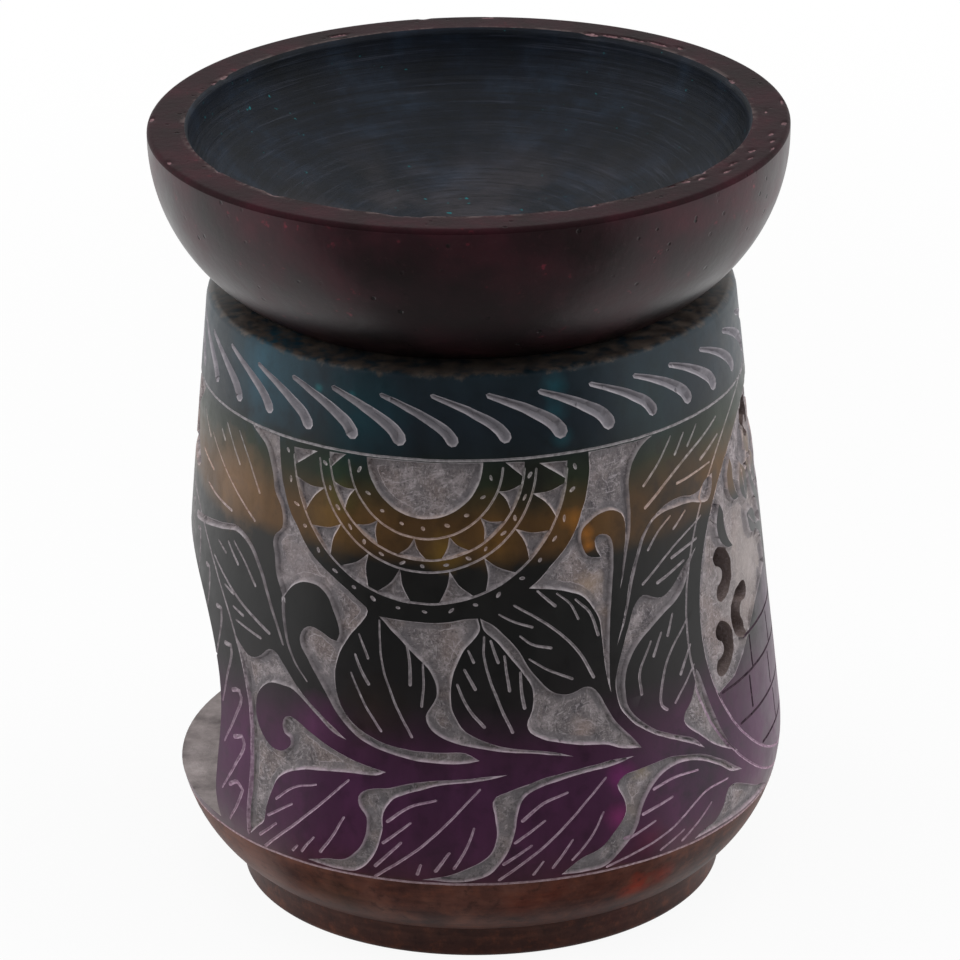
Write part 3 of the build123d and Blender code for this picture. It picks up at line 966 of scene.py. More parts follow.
class Finish:
    """A material and short ways to add nodes to it; places are in millimetres on the object."""

    def __init__(self, name, rough, specular=0.5, metal=0.0):
        self.material = bpy.data.materials.new(name)
        self.material.use_nodes = True
        self.tree = self.material.node_tree
        self.surface = self.tree.nodes["Principled BSDF"]
        self.surface.inputs["Roughness"].default_value = rough
        self.surface.inputs["Specular IOR Level"].default_value = specular
        self.surface.inputs["Metallic"].default_value = metal
        where = self.tree.nodes.new("ShaderNodeTexCoord").outputs["Object"]
        self.place = self.add("VectorMath", {0: where, "Scale": 1 / MM}, operation="SCALE").outputs[0]
        split = self.add("SeparateXYZ", {0: self.place})
        self.x, self.y, self.z = split.outputs

    def add(self, kind, sockets, **settings):
        made = self.tree.nodes.new("ShaderNode" + kind)
        for name, value in settings.items():
            setattr(made, name, value)
        for name, value in sockets.items():
            self.join(value, made.inputs[name])
        return made

    def join(self, value, socket):
        if isinstance(value, bpy.types.NodeSocket):
            self.tree.links.new(value, socket)
        else:
            socket.default_value = value

    def paint(self, name, value):
        self.join(value, self.surface.inputs[name])

    def math(self, operation, first, second=0.0, third=0.0):
        return self.add("Math", {0: first, 1: second, 2: third}, operation=operation).outputs[0]

    def stretch(self, x, y, z, place=None):
        sockets = {0: place or self.place, 1: (x, y, z)}
        return self.add("VectorMath", sockets, operation="MULTIPLY").outputs[0]

    def bent(self, size, amount):
        """The place moved about by slow noise, so that straight marks wander."""
        slow = self.add("TexNoise", {"Vector": self.place, "Scale": 1 / size, "Detail": 1.0})
        sockets = {0: slow.outputs["Color"], 1: (amount,) * 3, 2: self.place}
        return self.add("VectorMath", sockets, operation="MULTIPLY_ADD").outputs[0]

    def noise(self, size, detail=3.0, rough=0.55, place=None):
        """Even noise about 0.5, with features of about the given size."""
        sockets = {"Vector": place or self.place, "Scale": 1 / size, "Detail": detail, "Roughness": rough}
        return self.add("TexNoise", sockets).outputs["Fac"]

    def specks(self, size, radius):
        """1 in scattered round spots, 0 elsewhere."""
        near = self.add("TexVoronoi", {"Vector": self.place, "Scale": 1 / size}).outputs["Distance"]
        return self.between(near, radius, radius * 0.6)

    def between(self, value, low, high, start=0.0, end=1.0):
        sockets = {"Value": value, "From Min": low, "From Max": high, "To Min": start, "To Max": end}
        return self.add("MapRange", sockets).outputs["Result"]

    def mix(self, share, first, second, blend="MIX"):
        made = self.tree.nodes.new("ShaderNodeMix")
        made.data_type = "RGBA"
        made.blend_type = blend
        self.join(share, made.inputs[0])
        self.join(first, made.inputs[6])
        self.join(second, made.inputs[7])
        return made.outputs[2]

    def over(self, colour, value, low, high, power, rgb):
        """The colour with another one over it where the value goes from low to high."""
        return self.mix(self.between(value, low, high, 0.0, power), colour, tone(*rgb))

    def patched(self, colour, patches):
        """The colour with soft patches: photo angle, height, reach, strength and colour of each."""
        for angle, z, reach, power, rgb in patches:
            colour = self.mix(self.spot(angle, z, reach, power), colour, tone(*rgb))
        return colour

    def ramp(self, value, stops):
        made = self.add("ValToRGB", {0: value})
        bands = made.color_ramp.elements
        while len(bands) < len(stops):
            bands.new(0.5)
        for band, (position, colour) in zip(bands, stops):
            band.position = position
            band.color = colour
        return made.outputs["Color"]

    def across(self):
        """Distance from the turning axis."""
        square = self.math("MULTIPLY", self.y, self.y)
        return self.math("SQRT", self.math("MULTIPLY_ADD", self.x, self.x, square))

    def attribute(self, name):
        return self.add("Attribute", {}, attribute_name=name).outputs["Fac"]

    def spot(self, angle, z, reach, power=1.0):
        """A soft patch on the body about one place, uneven at its edge."""
        middle = on_body(angle + photo_turn, z)
        away = self.add("VectorMath", {0: self.place, 1: middle}, operation="DISTANCE").outputs["Value"]
        uneven = self.math("MULTIPLY_ADD", self.noise(2.2), reach * 0.9, away)
        return self.between(uneven, reach * 1.25, reach * 0.5, 0.0, power)

    def bump(self, height, depth, strength=1.0):
        made = self.add("Bump", {"Strength": strength, "Distance": depth * MM, "Height": height})
        self.join(made.outputs[0], self.surface.inputs["Normal"])


STONE = tone(101, 95, 96)
STONE_DARK = tone(70, 66, 69)
STONE_LIGHT = tone(132, 124, 126)
STONE_SLOPE = tone(92, 88, 91)
STONE_EDGE = tone(176, 168, 172)
STONE_STAINED = tone(106, 104, 110)
STONE_PIT = tone(52, 48, 50)
STONE_WARM = tone(116, 100, 94)

# Paint from the foot to the top, as (height, colour)
paint_bands = [
    (12, (54, 28, 24)), (13.3, (54, 28, 24)), (14.2, (52, 18, 35)), (18, (52, 17, 44)),
    (26, (51, 18, 46)), (31.5, (46, 17, 40)), (34.5, (32, 16, 28)), (37.5, (19, 16, 17)),
    (46, (16, 16, 16)), (55.0, (18, 17, 16)), (55.7, (40, 28, 15)), (57.0, (60, 40, 17)),
    (60.5, (64, 43, 17)), (63, (46, 36, 17)), (65.3, (22, 28, 16)), (68, (15, 23, 18)),
    (69, (12, 20, 25)), (72.5, (13, 23, 31)), (79, (15, 27, 34)),
]

# Local changes of the paint, the foot's dye and the bare stone, with painted shade on the foot and a
# painted highlight on the bare stone: photo angle, height, reach, strength and colour
paint_patches = [
    (-48, 75.5, 12, 0.9, (16, 50, 62)), (-24, 73, 9, 0.7, (10, 46, 54)),
    (17, 77, 2.6, 0.5, (12, 70, 80)), (17.5, 74, 2.4, 0.4, (12, 66, 76)),
    (18.5, 70.5, 2, 0.4, (14, 64, 72)), (40, 72, 9, 0.6, (22, 38, 40)),
    (-34, 75.6, 0.8, 0.6, (20, 82, 86)), (-26, 75.6, 0.8, 0.5, (18, 76, 82)),
    (22.6, 58, 1.5, 0.75, (118, 72, 20)), (22.8, 56.4, 1.3, 0.75, (118, 72, 18)),
    (27, 26, 3.4, 0.75, (92, 20, 78)), (26, 21, 2.8, 0.7, (92, 22, 70)), (33, 17, 4, 0.5, (80, 14, 46)),
    (48, 61, 6, 0.4, (66, 46, 30)), (46, 57, 3, 0.3, (70, 42, 33)), (-6, 56.8, 4, 0.8, (92, 68, 18)),
    (-30, 60, 7, 0.5, (88, 64, 22)), (-58, 60, 9, 0.7, (100, 74, 50)), (4, 58, 5, 0.5, (90, 62, 18)),
    (12, 65, 6, 0.8, (20, 20, 15)), (20, 60, 2.6, 0.6, (112, 70, 18)), (-20, 36, 7, 0.5, (36, 24, 18)),
    (-28, 62.5, 3, 0.5, (50, 56, 20)), (-30, 66, 4, 0.5, (16, 44, 26)),
    (80, 37.5, 8, 0.85, (52, 23, 50)), (44, 60, 10, 0.85, (30, 21, 12)),
    (46, 24, 10, 0.85, (22, 12, 23)), (-32, 33, 6, 0.6, (74, 30, 66)),
    (106, 37, 11, 0.85, (50, 21, 47)), (135, 73, 14, 0.8, (16, 49, 61)),
    (-150, 75, 12, 0.7, (14, 46, 58)), (172, 74, 6, 0.5, (13, 60, 72)),
    (172, 58.5, 7, 0.7, (92, 66, 18)), (-160, 57, 5, 0.7, (94, 68, 18)),
    (140, 60, 8, 0.6, (96, 68, 36)), (150, 26, 7, 0.5, (84, 22, 72)), (-140, 22, 6, 0.5, (80, 20, 60)),
    (-170, 17, 5, 0.5, (80, 14, 46)),
]
foot_patches = [
    (-50, 10, 9, 0.6, (104, 74, 66)), (-30, 9.5, 8, 0.5, (78, 52, 38)), (20, 9, 15, 0.75, (58, 25, 18)),
    # The broad dark patch at 52 degrees is partly darker dye and partly painted shade on the foot's right.
    (52, 9, 16, 0.9, (34, 14, 12)), (8, 10, 5, 0.6, (84, 34, 20)), (32, 9.4, 3.6, 0.85, (130, 36, 14)),
    (38, 10, 3, 0.7, (112, 32, 16)), (24, 6, 5, 0.5, (64, 20, 14)), (34, 4, 4.5, 0.7, (74, 20, 15)),
    (14, 12, 3, 0.5, (92, 36, 20)),
]
ground_patches = [
    # The first entry is a painted highlight: it lightens the bare ground at the medallion, where light
    # grazes it.
    (72, 46, 17, 0.7, (140, 132, 129)), (-38, 52, 8, 0.5, (124, 116, 118)),
    (-50, 66, 8, 0.5, (130, 122, 120)), (-34, 38, 7, 0.4, (120, 113, 115)),
    (23, 51, 3, 0.6, (146, 124, 104)), (25, 46, 4, 0.5, (134, 112, 96)),
    (32, 27, 3, 0.65, (134, 120, 98)), (30, 21, 3, 0.4, (122, 112, 104)),
    (20, 33, 2.5, 0.5, (132, 112, 104)),
]


def band_colour(made, level):
    share = made.math("DIVIDE", level, body_height)
    return made.ramp(share, [(z / body_height, tone(*rgb)) for z, rgb in paint_bands])


def rubbed_paint(made):
    """The thin paint left on a carved edge: the band's colour, much paler."""
    return made.mix(1.0, band_colour(made, made.z), (5.0, 5.0, 5.0, 1), "MULTIPLY")


def bare_colour(made):
    """Mottled grey stone with fine grain and short bent scratches that cross each other."""
    cloud = made.noise(2.4, 6.0, 0.72)
    base = made.ramp(cloud, [(0.34, STONE_DARK), (0.5, STONE), (0.66, STONE_LIGHT)])
    base = made.mix(made.between(made.noise(6.0, 4.0), 0.5, 0.62, 0.0, 0.35), base, STONE_WARM)
    bent = made.bent(6.0, 6.0)
    upright = made.noise(0.28, 2.0, 0.5, made.stretch(1.0, 1.0, 0.3, bent))
    level = made.noise(0.28, 2.0, 0.5, made.stretch(0.3, 0.3, 1.0, bent))
    grit = made.noise(0.32, 3.0, 0.7)
    marks = made.math("MAXIMUM", made.math("MAXIMUM", upright, level), grit)
    colour = made.mix(made.between(marks, 0.57, 0.72, 0.0, 0.4), base, STONE_EDGE)
    colour = made.mix(made.between(grit, 0.45, 0.3, 0.0, 0.75), colour, STONE_PIT)
    return colour, marks


def painted_finish():
    made = Finish("painted_stone", 0.36, 0.3)
    drift = made.math("SUBTRACT", made.noise(11.0, 3.0), 0.5)
    colour = band_colour(made, made.math("MULTIPLY_ADD", drift, 3.0, made.z))
    colour = made.patched(colour, paint_patches)
    streak = made.noise(6.0, 4.0, 0.6, made.stretch(1.0, 1.0, 0.3))
    lighter = made.mix(1.0, colour, (1.7, 1.7, 1.7, 1), "MULTIPLY")
    colour = made.mix(made.between(streak, 0.45, 0.75), colour, lighter)
    cloud = made.noise(2.2, 5.0, 0.65)
    darker = made.mix(1.0, colour, (0.4, 0.4, 0.4, 1), "MULTIPLY")
    colour = made.mix(made.between(cloud, 0.5, 0.25, 0.0, 0.7), colour, darker)
    ragged = made.math("MULTIPLY_ADD", made.noise(1.6, 5.0, 0.7), 3.2, made.z)
    worn = made.between(ragged, 80.2, 80.7)
    colour = made.mix(worn, colour, made.ramp(cloud, [(0.3, tone(28, 24, 23)), (0.7, tone(76, 68, 62))]))
    made.paint("Base Color", colour)
    made.paint("Roughness", made.between(cloud, 0.2, 0.8, 0.3, 0.46))
    made.bump(made.noise(1.6, 5.0, 0.65), 0.04, 0.5)
    return made.material


def foot_finish():
    """Red-brown dye on the turned foot, in level brush marks, with painted shade on its right."""
    made = Finish("dyed_foot", 0.5, 0.1)
    cloud = made.noise(5.0, 5.0)
    colour = made.ramp(cloud, [(0.3, tone(56, 30, 25)), (0.5, tone(78, 46, 38)), (0.7, tone(98, 62, 51))])
    # foot_patches carry the dye's patches and painted shade on the right.
    colour = made.patched(colour, foot_patches)
    foot = made.between(made.z, foot_height + 0.6, foot_height - 0.4, 0.0, 0.65)
    colour = made.mix(foot, colour, tone(36, 18, 16))
    brush = made.noise(0.8, 4.0, 0.6, made.stretch(0.1, 0.1, 1.0))
    colour = made.over(colour, brush, 0.52, 0.72, 0.25, (88, 58, 46))
    colour = made.over(colour, brush, 0.48, 0.3, 0.35, (26, 14, 13))
    mottle = made.noise(1.8, 6.0, 0.7)
    colour = made.over(colour, mottle, 0.52, 0.7, 0.45, (104, 58, 40))
    colour = made.over(colour, mottle, 0.46, 0.3, 0.6, (24, 12, 12))
    made.paint("Base Color", colour)
    made.bump(made.noise(1.6, 5.0, 0.65), 0.05, 0.6)
    return made.material


def bare_finish():
    """The carved ground: smooth grey slopes under the paint's edge and a scratched floor."""
    made = Finish("bare_stone", 0.72, 0.22)
    colour, marks = bare_colour(made)
    # The ground's patches are stains, and one painted highlight at the medallion.
    colour = made.patched(colour, ground_patches)
    wear = made.attribute("wear")
    smooth = made.between(made.noise(4.5, 2.0), 0.4, 0.55)
    slope = made.math("MULTIPLY", made.between(wear, 0.3, 0.45), made.math("MULTIPLY", smooth, 0.7))
    colour = made.mix(slope, colour, STONE_SLOPE)
    ridge = made.math("COMPARE", made.math("MULTIPLY_ADD", made.noise(1.6), 0.4, wear), 0.56, 0.03)
    some = made.between(made.noise(6.0), 0.5, 0.6, 0.0, 0.3)
    colour = made.mix(made.math("MULTIPLY", ridge, some), colour, STONE_EDGE)
    stained = made.between(made.z, high_border, high_border + 0.4, 0.0, 0.8)
    colour = made.mix(stained, colour, STONE_STAINED)
    uneven = made.between(made.noise(1.4, 4.0), 0.35, 0.6, 0.25, 0.9)
    edge = made.math("MULTIPLY", made.between(wear, 0.8, 0.95), uneven)
    tinted = made.mix(0.35, STONE_EDGE, rubbed_paint(made))
    made.paint("Base Color", made.mix(edge, colour, tinted))
    made.bump(marks, 0.1, 0.6)
    return made.material


def cut_finish():
    """Scratched lines: bare stone with some of the paint rubbed into it."""
    made = Finish("cut_stone", 0.78, 0.1)
    grit = made.noise(0.6, 4.0)
    stone = made.ramp(grit, [(0.3, tone(118, 111, 114)), (0.66, tone(174, 166, 170))])
    made.paint("Base Color", made.mix(0.42, stone, rubbed_paint(made)))
    made.bump(grit, 0.06, 0.6)
    return made.material


def joint_finish():
    """The lines between the mound's blocks: dark stain in a shallow groove."""
    made = Finish("stained_joint", 0.7, 0.1)
    grit = made.noise(0.8, 4.0)
    made.paint("Base Color", made.ramp(grit, [(0.3, tone(30, 21, 27)), (0.7, tone(58, 43, 53))]))
    made.bump(grit, 0.05, 0.5)
    return made.material


def inner_finish():
    """The bored stone: pale on the sill, brown in the vents and sooty in the chamber."""
    made = Finish("bored_stone", 0.8, 0.1)
    colour, marks = bare_colour(made)
    across = made.across()
    colour = made.over(colour, across, chamber_radius, chamber_radius + 1, 0.5, (112, 94, 88))
    mottle = made.ramp(made.noise(5.0, 4.0, 0.6), [(0.3, tone(102, 96, 96)), (0.68, tone(178, 168, 167))])
    sill = made.between(made.z, sill_height + 2.0, sill_height + 0.5, 0.0, 0.85)
    colour = made.mix(sill, colour, mottle)
    uneven = made.math("MULTIPLY_ADD", made.noise(9.0), 14.0, made.z)
    deep = made.between(across, chamber_radius + 2, chamber_radius)
    soot = made.math("MULTIPLY", deep, made.between(uneven, 46.0, 76.0, 0.0, 0.8))
    made.paint("Base Color", made.mix(soot, colour, tone(30, 27, 26)))
    made.bump(marks, 0.12, 0.6)
    return made.material


def bowl_colour(made):
    """Dark red-brown dye with pits and flecks, painted shade that darkens the side towards its foot, and
    the broken stone of the chips.
    """
    cloud = made.noise(9.0, 5.0)
    colour = made.ramp(cloud, [(0.3, tone(19, 10, 11)), (0.5, tone(34, 12, 18)), (0.72, tone(54, 16, 26))])
    # Painted shade: the side of the bowl darkens towards the body below it.
    low = made.between(made.z, 96.0, 84.0, 0.0, 0.6)
    colour = made.mix(low, colour, tone(13, 8, 8))
    fine = made.noise(0.7, 6.0, 0.7)
    colour = made.over(colour, fine, 0.6, 0.72, 0.4, (66, 40, 44))
    small = made.between(made.noise(1.5, 3.0), 0.65, 0.76)
    red = made.math("MULTIPLY", small, made.between(made.noise(9.0), 0.48, 0.58))
    colour = made.mix(red, colour, tone(92, 24, 38))
    flecks = made.noise(0.9, 4.0, 0.6, made.stretch(1.0, 1.0, 0.45))
    colour = made.over(colour, flecks, 0.74, 0.79, 0.8, (140, 118, 120))
    pits = made.math("MULTIPLY", made.specks(2.2, 0.16), made.between(made.noise(12.0), 0.52, 0.62))
    colour = made.mix(pits, colour, tone(9, 6, 6))
    ragged = made.math("MULTIPLY_ADD", fine, 0.9, made.attribute("wear"))
    broken = made.ramp(fine, [(0.35, tone(96, 68, 74)), (0.65, tone(160, 128, 132))])
    return made.mix(made.between(ragged, 0.78, 0.95), colour, broken), cloud, pits


def bowl_side_finish():
    made = Finish("dyed_stone", 0.33, 0.3)
    colour, cloud, pits = bowl_colour(made)
    made.paint("Base Color", colour)
    made.paint("Roughness", made.between(cloud, 0.25, 0.75, 0.27, 0.42))
    made.bump(made.math("MULTIPLY_ADD", pits, -3.0, made.noise(1.3, 5.0)), 0.05, 0.6)
    return made.material


def bowl_rim_finish():
    made = Finish("dyed_rim", 0.45, 0.03)
    colour, _, pits = bowl_colour(made)
    smudge = made.between(made.noise(6.0, 5.0, 0.65), 0.46, 0.62, 0.0, 0.55)
    colour = made.mix(smudge, made.mix(0.4, colour, tone(34, 24, 26)), tone(22, 17, 17))
    # A lighter ring along the inner edge of the rim: partly rubbed wear, partly a painted highlight.
    inner_edge = made.between(made.across(), rim_radius - rim_width + 1.1, rim_radius - rim_width + 0.4)
    rubbed = made.math("MULTIPLY", inner_edge, made.between(made.noise(2.2, 5.0, 0.7), 0.48, 0.6, 0.0, 0.6))
    made.paint("Base Color", made.mix(rubbed, colour, tone(92, 80, 79)))
    made.bump(made.math("MULTIPLY_ADD", pits, -3.0, made.noise(1.0, 5.0, 0.65)), 0.08, 0.7)
    return made.material


def bowl_inside_finish():
    """Slate-blue dye over fine tool lines, rubbed thin on the floor of the well; the pale tool lines are
    partly painted highlights.
    """
    made = Finish("turned_stone", 0.5, 0.2)
    across = made.across()
    turn = made.math("ARCTAN2", made.x, made.y)
    round_place = made.math("MULTIPLY", turn, 0.7)
    line_place = made.add("CombineXYZ", {0: across, 1: round_place, 2: made.z}).outputs[0]
    lines = made.noise(0.45, 5.0, 0.8, line_place)
    patch = made.noise(7.0, 6.0, 0.6)
    colour = made.ramp(patch, [(0.3, tone(7, 10, 14)), (0.52, tone(13, 18, 26)), (0.72, tone(23, 33, 45))])
    inner = made.between(across, 29.0, 14.0)
    worn = made.math("MULTIPLY", inner, made.between(made.noise(9.0, 4.0), 0.4, 0.65))
    colour = made.mix(made.math("MULTIPLY", worn, 0.5), colour, tone(60, 56, 60))
    colour = made.over(colour, lines, 0.5, 0.36, 0.7, (8, 10, 13))
    # Pale tool lines: partly the stone's own pale lines, partly painted highlights on the turned rings.
    colour = made.over(colour, lines, 0.56, 0.7, 0.26, (72, 76, 88))
    small = made.between(made.noise(1.1, 2.0), 0.71, 0.76)
    teal = made.math("MULTIPLY", small, made.between(made.noise(15.0), 0.46, 0.56))
    colour = made.mix(teal, colour, tone(18, 92, 98))
    made.paint("Base Color", colour)
    made.bump(lines, 0.1, 0.7)
    return made.material


def foil_finish():
    made = Finish("pressed_foil", 0.3, 0.5, 1.0)
    dull = made.noise(2.4, 3.0)
    made.paint("Base Color", made.ramp(dull, [(0.3, tone(206, 207, 210)), (0.7, tone(220, 220, 222))]))
    made.paint("Roughness", made.between(dull, 0.3, 0.7, 0.26, 0.32))
    made.bump(made.noise(1.5, 2.0), 0.02, 0.3)
    return made.material


def wax_finish():
    made = Finish("wax", 0.45, 0.4)
    cloud = made.noise(6.0, 4.0)
    made.paint("Base Color", made.ramp(cloud, [(0.3, tone(232, 228, 216)), (0.7, tone(243, 241, 234))]))
    made.surface.inputs["Subsurface Weight"].default_value = 0.25
    made.surface.inputs["Subsurface Radius"].default_value = (0.004, 0.003, 0.002)
    made.bump(made.noise(2.5, 4.0), 0.08, 0.4)
    return made.material


def wick_finish():
    made = Finish("cotton", 0.85, 0.2)
    fibre = made.noise(0.25, 3.0, 0.6, made.stretch(1.0, 1.0, 0.3))
    made.paint("Base Color", made.ramp(fibre, [(0.3, tone(214, 206, 188)), (0.7, tone(240, 236, 224))]))
    made.bump(fibre, 0.06, 0.8)
    return made.material


def tin_finish():
    made = Finish("tin", 0.35, 0.5, 1.0)
    dull = made.noise(0.8, 4.0, 0.6, made.stretch(1.0, 0.15, 1.0))
    made.paint("Base Color", made.ramp(dull, [(0.3, tone(168, 168, 170)), (0.7, tone(190, 190, 192))]))
    made.bump(dull, 0.03, 0.5)
    return made.material


# The body

body = make_body()
for finish in (painted_finish, bare_finish, cut_finish, inner_finish, foot_finish, joint_finish):
    body.data.materials.append(finish())
weld(body)
for cutter in (vent_cutters, doorway_cutter, chamber_cutter):
    cut_away(body, cutter())
for face in body.data.polygons:
    x, y, z = face.center / MM
    if sill_height - 0.01 < z < body_height - 0.01 and math.hypot(x, y) < body_radius(z) - 1.1:
        face.material_index = BORED
    elif z < low_border and face.material_index == PAINT:
        face.material_index = FOOT
smooth_shade(body, 38)
part_kinds(body)
lay_out(body)
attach(body, "burner")
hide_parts("burner_body")


# The bowl

rim_rings = 12
edge_rings = 7


def bowl_outline():
    """Outline from the middle of the well over the rim to the spigot, and how many points the well has."""
    well_radius = rim_radius - rim_width
    corner_centre = well_radius - well_corner_round
    spare_depth = bowl_depth - well_corner_round
    dish_radius = (corner_centre**2 + bowl_depth**2 - well_corner_round**2) / (2 * spare_depth)
    dish_rise = dish_radius - bowl_depth
    meet = math.degrees(math.atan2(dish_rise, corner_centre))
    dish = arc(0, rim_level + dish_rise, dish_radius, -90, -meet, 64)[1:]
    corner = arc(corner_centre, rim_level, well_corner_round, -meet, -3, 36)[1:]
    well = [(0, rim_level - bowl_depth)] + dish + corner
    inner = well_radius + 0.35
    outer = rim_radius - rim_edge_round
    rim_top = [(inner + (outer - inner) * i / rim_rings, rim_level) for i in range(rim_rings + 1)]
    edge = arc(outer, rim_level - rim_edge_round, rim_edge_round, 90, 0, edge_rings)[1:]
    side_top = rim_level - side_drop
    drop = side_top - body_height
    across = rim_radius - bowl_seat_radius
    side_round = (drop**2 + across**2) / (2 * across)
    last = -math.degrees(math.asin(drop / side_round))
    side = arc(rim_radius - side_round, side_top, side_round, 0, last, 44)
    under = body_height - spigot_length
    spigot = [(spigot_radius, body_height), (spigot_radius, under + spigot_edge),
              (spigot_radius - spigot_edge, under), (spigot_radius / 2, under), (0, under)]
    return well + rim_top + edge + side + spigot, len(well)


# Chips in the rim: angle from the front, radius, half length round the rim and half width across it
rim_chips = [
    (-151, 36.4, 1.0, 0.3), (155, 34.9, 0.8, 0.5), (151, 35.5, 1.1, 0.26), (146, 35.8, 1.7, 0.22),
    (140, 36.2, 1.3, 0.22), (135, 36.8, 0.5, 0.2), (58, 37.2, 0.5, 0.25), (62, 36.6, 0.6, 0.2),
    (66, 37.6, 0.4, 0.2), (52, 36.1, 0.5, 0.2), (49, 35.4, 0.5, 0.25), (70, 36.8, 0.3, 0.2),
    (76, 38.2, 0.35, 0.2), (45, 35.2, 0.4, 0.2), (-40, 35.0, 0.8, 0.35), (-12, 34.9, 1.3, 0.35),
    (-8, 34.9, 0.6, 0.35), (21, 35.0, 0.9, 0.25), (26, 35.1, 0.5, 0.25), (72, 38.9, 0.4, 0.25),
    (80, 37.6, 0.35, 0.25), (86, 38.8, 0.6, 0.25), (93, 36.6, 0.35, 0.25), (98, 38.9, 0.5, 0.25),
    (-117, 35.0, 0.6, 0.3), (-113, 35.0, 0.4, 0.25), (-66, 38.9, 0.4, 0.25), (-58, 35.0, 0.5, 0.25),
    (112, 35.0, 0.6, 0.25), (55, 35.0, 0.6, 0.25), (178, 38.8, 0.6, 0.3), (-170, 39.0, 0.5, 0.25),
    (-90, 39.0, 0.4, 0.25),
]
chip_depth = 0.25


def chip_at(x, y, z):
    """How far a place on the bowl lies in a chip, from 0 to 1."""
    if z < rim_level - 1.0:
        return 0.0
    radius = math.hypot(x, y)
    angle = math.degrees(math.atan2(x, -y))
    most = 0.0
    for turn, middle, length, width in rim_chips:
        along = math.radians((angle - turn + 180) % 360 - 180) * radius / length
        away = math.hypot(along, (radius - middle) / width)
        most = max(most, min(1.0, 1.6 - away))
    return most


def make_bowl():
    outline, well_count = bowl_outline()
    segments = 288
    verts, faces = turned_mesh(outline, segments)
    tool_lines = [draw.uniform(-0.05, 0.05) for _ in range(well_count)]
    wear = []
    moved = []
    for i, (x, y, z) in enumerate(verts):
        chip = chip_at(x, y, z)
        ring = (i - 1) // segments + 1
        if 0 < ring < well_count - 4:
            z += tool_lines[ring] * min(1.0, math.hypot(x, y) / 4)
        moved.append((x, y, z - chip * chip_depth))
        wear.append(chip)
    rim_end = well_count + rim_rings + edge_rings
    kinds = []
    for i in range(len(faces)):
        ring = i // segments
        kinds.append(0 if ring < well_count else 1 if ring < rim_end else 2)
    bowl = new_object("turned_bowl", moved, faces, kinds)
    bowl.data.attributes.new("wear", "FLOAT", "POINT").data.foreach_set("value", wear)
    for finish in (bowl_inside_finish, bowl_rim_finish, bowl_side_finish):
        bowl.data.materials.append(finish())
    weld(bowl)
    smooth_shade(bowl, 40)
    return bowl


bowl = make_bowl()
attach(bowl, "bowl")
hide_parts("oil_bowl")


# The tealight

cup_low, cup_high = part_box("tealight_cup")
cup_base_radius = 18.6
cup_mouth_radius = 18.9
cup_lip_height = 0.9
cup_wall = 0.4
flute_count = 44
flute_depth = 0.35
cup_floor = cup_low[2] / MM
cup_top = cup_high[2] / MM
wax_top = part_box("tealight_wax")[1][2] / MM
wick_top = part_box("tealight_wick")[1][2] / MM
wick_radius = 0.85
wax_creep = 0.9


def make_cup():
    """A foil cup pressed into flutes, with a rolled lip."""
    lip = cup_top - cup_lip_height
    outside = [(0, cup_floor), (9, cup_floor), (cup_base_radius - 1.2, cup_floor),
               (cup_base_radius - 0.3, cup_floor + 0.3)]
    for i in range(13):
        radius = cup_base_radius + (cup_mouth_radius - cup_base_radius) * i / 12
        outside.append((radius, cup_floor + 1 + (lip - cup_floor - 1) * i / 12))
    roll = arc(cup_mouth_radius + 0.02, cup_top - 0.45, 0.38, -90, 90, 8)
    inside = [(cup_mouth_radius - cup_wall, cup_top - 0.4), (cup_mouth_radius - cup_wall, lip)]
    inside += [(cup_base_radius - cup_wall - 0.05, cup_floor + 1.4),
               (cup_base_radius - 1.6, cup_floor + cup_wall), (0, cup_floor + cup_wall)]
    verts, faces = turned_mesh(outside + roll + inside, flute_count * 6)
    moved = []
    for x, y, z in verts:
        radius = math.hypot(x, y)
        if radius > cup_base_radius - 0.8 and z < lip + 0.01:
            fade = min(1.0, max(0.0, (lip - z) / 2), max(0.0, (z - cup_floor) / 1.0))
            wave = 0.5 + 0.5 * math.cos(flute_count * math.atan2(y, x))
            share = 1 - flute_depth * wave * fade / radius
            x *= share
            y *= share
        moved.append((x, y, z))
    cup = new_object("fluted_cup", moved, faces)
    weld(cup)
    cup.data.materials.append(foil_finish())
    smooth_shade(cup, 50)
    return cup


def make_wax():
    """Wax with a level top that creeps up at the cup and at the wick."""
    reach = cup_base_radius - cup_wall - flute_depth - 0.1
    low = cup_floor + cup_wall + 0.1
    top = []
    for i in range(29):
        radius = reach * (1 - i / 28)
        from_wick = max(0.0, radius - wick_radius)
        creep = 0.5 * math.exp(-(reach - radius) / 0.7) + wax_creep * math.exp(-from_wick / 0.9)
        top.append((radius, wax_top - wax_creep + min(wax_creep, creep)))
    outline = [(0, low), (reach - 0.8, low), (reach, low + 0.8), (reach, wax_top - 1.5)]
    outline += top[:-1] + [(0, wax_top)]
    verts, faces = turned_mesh(outline, 96)
    moved = []
    for x, y, z in verts:
        swell = 0.07 * noise.noise(Vector((x, y, 2.0)) * 0.3) if z > low + 2 else 0.0
        moved.append((x, y, z + swell))
    wax = new_object("poured_wax", moved, faces)
    weld(wax)
    wax.data.materials.append(wax_finish())
    smooth_shade(wax, 50)
    return wax


